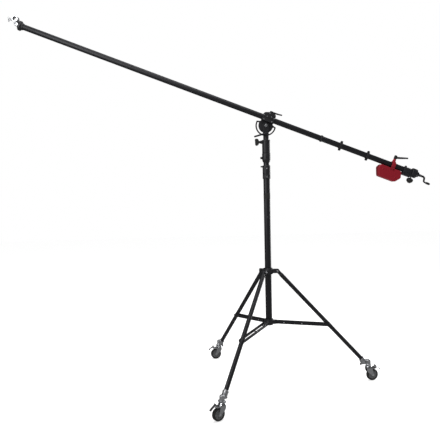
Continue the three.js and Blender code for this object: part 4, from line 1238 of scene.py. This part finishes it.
def build_tail():
    low, high = span("rear_housing", BOOM, 0)
    shell = plate_along_x(link(0, 0, 22, 0, -20, 19, 20), low, high, 2.5)
    boss = rod((low + 12, 0, 17), (low + 12, 0, 29), 7.5, 6.5, 1.5)
    grooves = [moved(turned([(21.2, -1.2), (26, -1.2), (26, 1.2), (21.2, 1.2)], "X", 64, 0.3), at(x))
               for x in (low + 30, low + 38, low + 46)]
    body = carved(united(shell, boss), rod((low - 5, 0, 0), (high + 5, 0, 0), BOOM_SEAT, sides=64),
                  *grooves)
    show("tail_housing", body, BOOM, "boom", "black_casting", ["rear_housing"])
    spots = both_sides(18.6, (low + 12, -22), (low + 46, -22))
    bolts("tail_housing_screws", BOOM, spots, "boom", "dark_screw", 3.6, 2.2)
    low, high = span("rear_collar", BOOM, 0)
    end = high - 15
    tail_end = span("boom_tube", BOOM, 0)[1]
    profile = [(28, low), (31, low + 3), (31, end - 3), (28, end), (18.5, end), (17.5, high - 1),
               (16, high),
               (7.3, high), (7.3, tail_end + 0.3), (BOOM_SEAT, tail_end + 0.3), (BOOM_SEAT, low)]
    flutes = moved(ribs(44, 30.4, 1.1, end - low - 9, "X"), at((low + end) / 2))
    show("tail_collar", together(turned(profile, "X", 72, 1), flutes), BOOM, "boom", "black_casting",
         ["rear_collar"])
    u = inside(BOOM, pivot("rear_knob_turn")).x
    grip = moved(turned([(0, -74.5), (9, -73.5), (22, -61), (23, -48), (14, -40), (0, -40)], "Z", 10,
                        2.2), at(u))
    stem = rod((u, 0, -20.5), (u, 0, -44), 4)
    show("tail_lock_knob", together(grip, stem), BOOM, "rear_knob", "black_plastic", ["rear_knob"], 25)


def build_crank():
    low, _ = span("crank", BOOM, 0)
    drop = inside(BOOM, pivot("crank_grip_spin")).z
    arm = low + 38.7
    start, end = span("crank_grip", BOOM, 0)
    shaft = turned([(0, low), (8.5, low), (8.5, low + 14), (7.2, low + 17), (7.2, arm - 2), (0, arm)],
                   "X", 40, 1)
    bend = [(low + 22, 0, 0), (arm - 4, 0, 0), (arm + 4, 0, -4), (start - 15, 0, drop + 5),
            (start - 7, 0, drop), (start - 0.4, 0, drop)]
    web = swept(bend, (6.4, 6.6, 7, 6.2, 5.6, 5.4))
    body = cast(shaft, web, grain=0.75, smoothing=5)
    pin = rod((start - 8, 0, drop), (end, 0, drop), 4)
    show("crank_casting", together(body, pin), BOOM, "crank_shaft", "black_paint", ["crank"])
    bolts("crank_screw", BOOM, [((low + 10, -8.2, 0), (0, -1, 0))], "crank_shaft", "silver_screw", 3.2,
          2)
    grip = turned([(4.3, start), (6, start), (7.6, start + 5), (8, start + 15), (7.4, end - 7),
                   (6, end - 2.5), (4.3, end - 2.5)], "X", 40, 1)
    show("crank_handle", moved(grip, at(0, 0, drop)), BOOM, "crank_grip", "black_plastic",
         ["crank_grip"])


# ---------------------------------------------------------------- counterweight
def build_weight():
    low, high = span("counterweight", BOOM, 0)
    bottom, top = span("counterweight", BOOM, 2)
    u = inside(BOOM, pivot("weight_lever_turn")).x
    outline = softened([
        (low + 12, top), (low, top - 20), (low, top - 30), (low + 20, bottom + 3), (low + 28, bottom),
        (high - 34, bottom), (high - 26, bottom + 4), (high, top - 45), (high - 9, top - 8),
        (high - 17, top)], 5)
    block = plate(outline, -30, 30, 6.5, steps=4)
    slots = [box(u - 14, u + 14, s * 26 - 5.2, s * 26 + 5.2, top - 16, top + 4, 0.01) for s in (-1, 1)]
    way = rod((u + 36, 0, 0), (high + 5, 0, 0), 26, sides=64)
    show("red_weight", carved(block, *slots, way), BOOM, "counterweight", "red_paint",
         ["counterweight"])
    foot = top - 15
    arch = [(-27, foot), (-21.2, foot), (-21.2, 0)] + arc(0, 0, 21.2, 180, 0,
                                                          24)[1:] + [(21.2, foot), (27, foot)]
    arch += arc(0, 0, 27, 0, 180, 24)
    strap = plate_along_x(arch, u - 13, u + 13, 1.2)
    boss = rod((u, 0, 24), (u, 0, 44), 12, 9.5, 1.5)
    show("weight_strap", united(strap, boss), BOOM, "counterweight", "red_paint", ["weight_bracket"])
    spots = both_sides(26.8, *((u + x, z) for x in (-6, 6) for z in (-14, foot + 8)))
    bolts("weight_strap_screws", BOOM, spots, "counterweight", "dark_screw", 2.8, 1.8)
    spots = both_sides(29.8, (low + 34, top - 26), (high - 40, bottom + 24))
    bolts("weight_bolts", BOOM, spots, "counterweight", "red_paint", 6, 2.2, facets=32, crown=0.25,
          recess=0.45)
    hub = moved(turned([(0, 44.3), (9, 44.3), (10, 48), (10, 66), (8, 70), (0, 71)], "Z", 44, 1.2),
                at(u))
    stem = rod((u, 0, 20), (u, 0, 50), 4)
    show("weight_lever_hub", together(hub, stem), BOOM, "weight_lever", "black_plastic",
         ["weight_lever"])
    arm = swept([(u + 6, 0, 56), (u + 32, 0, 63.5), (u + 58, 0, 72), (u + 83, 0, 80)], (5, 4.6, 4, 3.4),
                flat=1.5)
    show("weight_lever_arm", arm, BOOM, "weight_lever", "lever_grey")


# ---------------------------------------------------------------- lamp end
def build_lamp_end():
    _, neck_end = span("tip_yoke", BOOM, 0)
    neck = turned([(0, LAMP_U + 10), (11, LAMP_U + 10), (9.5, neck_end - 4), (9.5, neck_end),
                   (0, neck_end)], "X", 40, 1)
    cheeks = [plate(link(LAMP_U, 0, 9.4, neck_end - 6, 0, 9.4), y, y + 6.2, 1.6) for y in (-14.5, 8.3)]
    bridge = box(neck_end - 7, neck_end - 0.5, -14.5, 14.5, -9.4, 9.4, 1.5)
    show("lamp_yoke", cast(neck, *cheeks, bridge, grain=0.7, smoothing=4), BOOM, "crank_shaft",
         "cast_silver", ["tip_yoke"])
    pin = cross_pin(LAMP_U, 0, 16, 4)
    show("lamp_yoke_pin", pin, BOOM, "crank_shaft", "silver_screw")
    spots = both_sides(14.4, (LAMP_U, 0))
    bolts("lamp_yoke_bolts", BOOM, spots, "crank_shaft", "dark_screw", 6.2, 3, facets=6, crown=0.12,
          recess=0.0)
    z = SOCKET_RISE
    barrel = moved(turned([(0, -20), (19.5, -20), (21, -18.5), (21, 18.5), (19.5, 20), (0, 20)], "Y",
                          64, 1), at(0, 0, z))
    tongue = plate(link(0, 0, 9.2, 0, z - 12, 10), -7.7, 7.7, 1.6)
    boss = rod((-16, 0, z), (-27, 0, z), 9.5, 8, 1.2)
    casting = cast(barrel, tongue, boss, grain=0.75, smoothing=5)
    bore = rod((0, -25, z), (0, 25, z), 14.3, sides=64, soft=0)
    show("lamp_socket_casting", carved(casting, bore), LAMP, "lamp_socket", "cast_silver",
         ["lamp_socket"], 45)
    spots = both_sides(19.6, (8, z - 15.6))
    bolts("lamp_socket_marks", LAMP, spots, "lamp_socket", "dark_screw", 2.2, 1.4)
    stem = rod((-14.8, 0, z), (-44, 0, z), 4)
    collar = moved(turned([(0, -43), (6.5, -43), (7, -40), (6, -31), (5, -30), (0, -30)], "X", 36, 0.8),
                   at(0, 0, z))
    wing = swept([(-43, 0, z - 12), (-42.4, 0, z), (-43, 0, z + 12)], (4.6, 4.2, 4.6), flat=0.9)
    show("lamp_socket_tee", cast(stem, collar, wing, grain=0.6, smoothing=4), LAMP, "lamp_socket_screw",
         "cast_silver", ["lamp_socket_screw"])


# ---------------------------------------------------------------- stage
CAMERA_PLACE = AXIS + Vector((-0.4983, -3.7092, 1.333))
CAMERA_YAW, CAMERA_PITCH, CAMERA_ROLL = (math.radians(a) for a in (2.75, -3.155, 1.24))


def build_camera(lens):
    yaw, pitch = CAMERA_YAW, CAMERA_PITCH
    ahead = Vector((math.sin(yaw) * math.cos(pitch), math.cos(yaw) * math.cos(pitch), math.sin(pitch)))
    level = ahead.cross(UP).normalized()
    below = ahead.cross(level).normalized()
    right = level * math.cos(CAMERA_ROLL) + below * math.sin(CAMERA_ROLL)
    down = below * math.cos(CAMERA_ROLL) - level * math.sin(CAMERA_ROLL)
    data = bpy.data.cameras.new("stand_camera")
    data.lens = lens
    data.sensor_width = 36
    data.clip_end = 100
    camera = bpy.data.objects.new("stand_camera", data)
    turn = Matrix((right, -down, -ahead)).transposed().to_4x4()
    camera.matrix_world = Matrix.Translation(CAMERA_PLACE) @ turn
    bpy.context.scene.collection.objects.link(camera)
    bpy.context.scene.camera = camera


def softbox(name, spot, target, width, height, power):
    data = bpy.data.lights.new(name, "AREA")
    data.shape = "RECTANGLE"
    data.size, data.size_y = width, height
    data.energy = power
    lamp = bpy.data.objects.new(name, data)
    lamp.location = spot
    lamp.rotation_euler = (Vector(target) - Vector(spot)).to_track_quat("-Z", "Y").to_euler()
    lamp.visible_camera = False
    bpy.context.scene.collection.objects.link(lamp)


def strip_light(name, start, end, target, width, power):
    """A long narrow light between two points that faces a third."""
    start, end = Vector(start), Vector(end)
    middle = (start + end) / 2
    along = (end - start).normalized()
    back = (middle - Vector(target))
    back = (back - along * back.dot(along)).normalized()
    data = bpy.data.lights.new(name, "AREA")
    data.shape = "RECTANGLE"
    data.size, data.size_y = (end - start).length, width
    data.energy = power
    lamp = bpy.data.objects.new(name, data)
    turn = Matrix((along, back.cross(along), back)).transposed().to_4x4()
    lamp.matrix_world = Matrix.Translation(middle) @ turn
    lamp.visible_camera = False
    lamp.visible_diffuse = False
    bpy.context.scene.collection.objects.link(lamp)


def build_world(brightness, reflected):
    world = bpy.data.worlds.new("studio")
    world.use_nodes = True
    bpy.context.scene.world = world
    w = Wires(world.node_tree)
    world.node_tree.nodes.clear()
    path = w.node("ShaderNodeLightPath").outputs
    seen = w.math("MAXIMUM", path["Is Camera Ray"],
                  w.math("MULTIPLY", path["Is Diffuse Ray"], brightness))
    strength = w.math("MAXIMUM", seen, w.math("MULTIPLY", path["Is Glossy Ray"], reflected))
    sky = w.node("ShaderNodeBackground", {"Color": (1, 1, 1, 1), "Strength": strength})
    end = w.node("ShaderNodeOutputWorld")
    w.feed(end.inputs[0], sky.outputs[0])


def build_floor(shade, glow):
    material = bpy.data.materials.new("pale_floor")
    material.use_nodes = True
    w = Wires(material.node_tree)
    shader = material.node_tree.nodes["Principled BSDF"]
    patch = object_noise(w, 0.8, 3.0)
    tint = blend_colour(w, patch, (shade, shade, shade, 1),
                        (shade * 0.985, shade * 0.985, shade * 0.985, 1))
    # Painted reflection: seen in gloss the floor turns dark grey, so the stand's tubes reflect painted
    # shade rather than the lit pale floor.
    path = w.node("ShaderNodeLightPath").outputs
    w.feed(shader.inputs["Base Color"], blend_colour(w, path["Is Glossy Ray"], tint,
                                                     (0.20, 0.20, 0.20, 1)))
    w.feed(shader.inputs["Emission Color"],
           blend_colour(w, path["Is Camera Ray"], (0, 0, 0, 1), (1, 1, 1, 1)))
    shader.inputs["Emission Strength"].default_value = glow
    shader.inputs["Roughness"].default_value = 0.9
    shader.inputs["Specular IOR Level"].default_value = 0.1
    shape = bmesh.new()
    bmesh.ops.create_grid(shape, x_segments=8, y_segments=8, size=12)
    mesh = bpy.data.meshes.new("floor")
    shape.to_mesh(mesh)
    shape.free()
    mesh.materials.append(material)
    floor = bpy.data.objects.new("floor", mesh)
    floor.location = (0, 0, -0.0005)
    bpy.context.scene.collection.objects.link(floor)


# ---------------------------------------------------------------- settings
class BoomStandSizes(bpy.types.PropertyGroup):
    """Colours and finishes of the stand."""

    enamel_colour: bpy.props.FloatVectorProperty(
        name="Enamel colour", description="Colour of the painted tubes", subtype="COLOR", size=3,
        min=0, max=1, default=(0.003, 0.003, 0.0035))
    enamel_roughness: bpy.props.FloatProperty(
        name="Enamel roughness", description="How dull the painted tubes are", subtype="FACTOR",
        min=0.04, max=1, default=0.13)
    weight_colour: bpy.props.FloatVectorProperty(
        name="Weight colour", description="Colour of the counterweight", subtype="COLOR", size=3,
        min=0, max=1, default=(0.56, 0.003, 0.026))
    casting_colour: bpy.props.FloatVectorProperty(
        name="Casting colour", description="Colour of the silver castings", subtype="COLOR", size=3,
        min=0, max=1, default=(0.32, 0.325, 0.33))


class BoomStandStage(bpy.types.PropertyGroup):
    """The camera, the lights and the floor."""

    lens: bpy.props.FloatProperty(
        name="Lens", description="Focal length of the camera", subtype="DISTANCE_CAMERA", default=45.2)
    floor_shade: bpy.props.FloatProperty(
        name="Floor shade", description="How pale the floor is", subtype="FACTOR", min=0, max=1,
        default=0.92)
    floor_glow: bpy.props.FloatProperty(
        name="Floor glow", description="How far the floor is lifted to white", min=0, max=2,
        default=0.5)
    key_power: bpy.props.FloatProperty(
        name="Key light", description="Power of the softbox at the left", subtype="POWER", default=16)
    side_power: bpy.props.FloatProperty(
        name="Side light", description="Power of the softbox at the right", subtype="POWER", default=90)
    top_power: bpy.props.FloatProperty(
        name="Top light", description="Power of the overhead softbox", subtype="POWER", default=60)
    strip_power: bpy.props.FloatProperty(
        name="Boom strip", description="Power of the strip light along the boom", subtype="POWER",
        default=36)
    column_power: bpy.props.FloatProperty(
        name="Column strip", description="Power of the strip light on the collars", subtype="POWER",
        default=14)
    brightness: bpy.props.FloatProperty(
        name="Fill", description="Soft light from all round", min=0, max=2, default=0.55)
    reflected: bpy.props.FloatProperty(
        name="Reflected fill", description="How bright the room looks in gloss", min=0, max=2,
        default=0.06)


# ---------------------------------------------------------------- operators
class BOOMSTAND_OT_finishes(bpy.types.Operator):
    """Make the shared shading groups and the finishes"""

    bl_idname = "boomstand.finishes"
    bl_label = "Finishes"

    def execute(self, context):
        make_finishes(context.scene.boom_stand)
        return {"FINISHED"}


class BOOMSTAND_OT_trees(bpy.types.Operator):
    """Make the geometry trees for bolts, ribs, wheel webs and tubes"""

    bl_idname = "boomstand.trees"
    bl_label = "Repeating shapes"

    def execute(self, context):
        bolt_tree()
        rib_tree()
        spoke_tree()
        tube_tree()
        return {"FINISHED"}


class BOOMSTAND_OT_column(bpy.types.Operator):
    """Build the lower column and its two risers"""

    bl_idname = "boomstand.column"
    bl_label = "Column"

    def execute(self, context):
        build_column()
        return {"FINISHED"}


class BOOMSTAND_OT_hub(bpy.types.Operator):
    """Build the hub that the braces turn on"""

    bl_idname = "boomstand.hub"
    bl_label = "Brace hub"

    def execute(self, context):
        build_hub()
        return {"FINISHED"}


class BOOMSTAND_OT_locks(bpy.types.Operator):
    """Build the lock collars, the receiver and their knobs"""

    bl_idname = "boomstand.locks"
    bl_label = "Lock collars and knobs"

    def execute(self, context):
        build_lock_collars()
        build_lock_knobs()
        return {"FINISHED"}


class BOOMSTAND_OT_leg_collar(bpy.types.Operator):
    """Build the sliding collar that carries the legs"""

    bl_idname = "boomstand.leg_collar"
    bl_label = "Leg collar"

    def execute(self, context):
        build_leg_collar()
        return {"FINISHED"}


class BOOMSTAND_OT_legs(bpy.types.Operator):
    """Build the three legs"""

    bl_idname = "boomstand.legs"
    bl_label = "Legs"

    def execute(self, context):
        build_legs()
        return {"FINISHED"}


class BOOMSTAND_OT_braces(bpy.types.Operator):
    """Build the three twin-bar braces"""

    bl_idname = "boomstand.braces"
    bl_label = "Braces"

    def execute(self, context):
        build_braces()
        return {"FINISHED"}


class BOOMSTAND_OT_sockets(bpy.types.Operator):
    """Build the cast sockets between legs and casters"""

    bl_idname = "boomstand.sockets"
    bl_label = "Caster sockets"

    def execute(self, context):
        build_caster_sockets()
        return {"FINISHED"}


class BOOMSTAND_OT_casters(bpy.types.Operator):
    """Build the forks, the brake pedals and the wheels"""

    bl_idname = "boomstand.casters"
    bl_label = "Casters"

    def execute(self, context):
        build_forks()
        build_pedals()
        build_wheels()
        return {"FINISHED"}


class BOOMSTAND_OT_head(bpy.types.Operator):
    """Build the tilting head, its quadrant, clamp and levers"""

    bl_idname = "boomstand.head"
    bl_label = "Head"

    def execute(self, context):
        build_yoke()
        build_tilt_lever()
        build_quadrant()
        build_clamp()
        return {"FINISHED"}


class BOOMSTAND_OT_boom(bpy.types.Operator):
    """Build the boom tube, its rings, the tip bell and the tail"""

    bl_idname = "boomstand.boom"
    bl_label = "Boom"

    def execute(self, context):
        build_boom()
        build_tip_flange()
        build_tail()
        return {"FINISHED"}


class BOOMSTAND_OT_crank(bpy.types.Operator):
    """Build the crank and its handle"""

    bl_idname = "boomstand.crank"
    bl_label = "Crank"

    def execute(self, context):
        build_crank()
        return {"FINISHED"}


class BOOMSTAND_OT_weight(bpy.types.Operator):
    """Build the counterweight, its strap and its lever"""

    bl_idname = "boomstand.weight"
    bl_label = "Counterweight"

    def execute(self, context):
        build_weight()
        return {"FINISHED"}


class BOOMSTAND_OT_lamp_end(bpy.types.Operator):
    """Build the lamp yoke, the lamp socket and its screw"""

    bl_idname = "boomstand.lamp_end"
    bl_label = "Lamp end"

    def execute(self, context):
        build_lamp_end()
        return {"FINISHED"}


class BOOMSTAND_OT_stage(bpy.types.Operator):
    """Set the floor, the light and the camera"""

    bl_idname = "boomstand.stage"
    bl_label = "Stage"

    def execute(self, context):
        stage = context.scene.boom_stand_stage
        context.scene.view_settings.view_transform = "Standard"
        build_world(stage.brightness, stage.reflected)
        build_floor(stage.floor_shade, stage.floor_glow)
        softbox("key_softbox", (-2.6, -3.3, 3.0), (-0.2, 0, 1.4), 1.6, 2.2, stage.key_power)
        softbox("side_softbox", (3.2, 2.2, 1.3), (0.2, 0, 1.2), 2.2, 3.0, stage.side_power)
        softbox("top_softbox", (0.2, -0.6, 4.6), (0, 0, 1), 3.0, 3.0, stage.top_power)
        strip_light("boom_strip", (-3.4, -2.4, 4.0), (-0.95, -2.4, 2.4), (-0.7, 0, 2.0), 0.30,
                    stage.strip_power)
        column = AXIS + Vector((-2.5, -1.7, 0))
        strip_light("column_strip", column + UP * 1.4, column + UP * 2.1, AXIS + UP * 1.5, 0.22,
                    stage.column_power)
        build_camera(stage.lens)
        return {"FINISHED"}


STEPS = (
    BOOMSTAND_OT_finishes, BOOMSTAND_OT_trees, BOOMSTAND_OT_column, BOOMSTAND_OT_hub,
    BOOMSTAND_OT_locks,
    BOOMSTAND_OT_leg_collar, BOOMSTAND_OT_legs, BOOMSTAND_OT_braces, BOOMSTAND_OT_sockets,
    BOOMSTAND_OT_casters, BOOMSTAND_OT_head, BOOMSTAND_OT_boom, BOOMSTAND_OT_crank, BOOMSTAND_OT_weight,
    BOOMSTAND_OT_lamp_end, BOOMSTAND_OT_stage, )


class BOOMSTAND_PT_panel(bpy.types.Panel):
    """The stand's settings and its building steps"""

    bl_idname = "BOOMSTAND_PT_panel"
    bl_label = "Boom Stand"
    bl_space_type = "VIEW_3D"
    bl_region_type = "UI"
    bl_category = "Boom Stand"

    def draw(self, context):
        for settings in (context.scene.boom_stand, context.scene.boom_stand_stage):
            for key in settings.__annotations__:
                self.layout.prop(settings, key)
        for step in STEPS:
            self.layout.operator(step.bl_idname)


CLASSES = (BoomStandSizes, BoomStandStage, *STEPS, BOOMSTAND_PT_panel)


def register():
    for cls in CLASSES:
        bpy.utils.register_class(cls)
    bpy.types.Scene.boom_stand = bpy.props.PointerProperty(type=BoomStandSizes)
    bpy.types.Scene.boom_stand_stage = bpy.props.PointerProperty(type=BoomStandStage)


def unregister():
    del bpy.types.Scene.boom_stand_stage
    del bpy.types.Scene.boom_stand
    for cls in reversed(CLASSES):
        bpy.utils.unregister_class(cls)


def main():
    register()
    for step in STEPS:
        group, name = step.bl_idname.split(".")
        getattr(getattr(bpy.ops, group), name)()


if __name__ == "__main__":
    main()
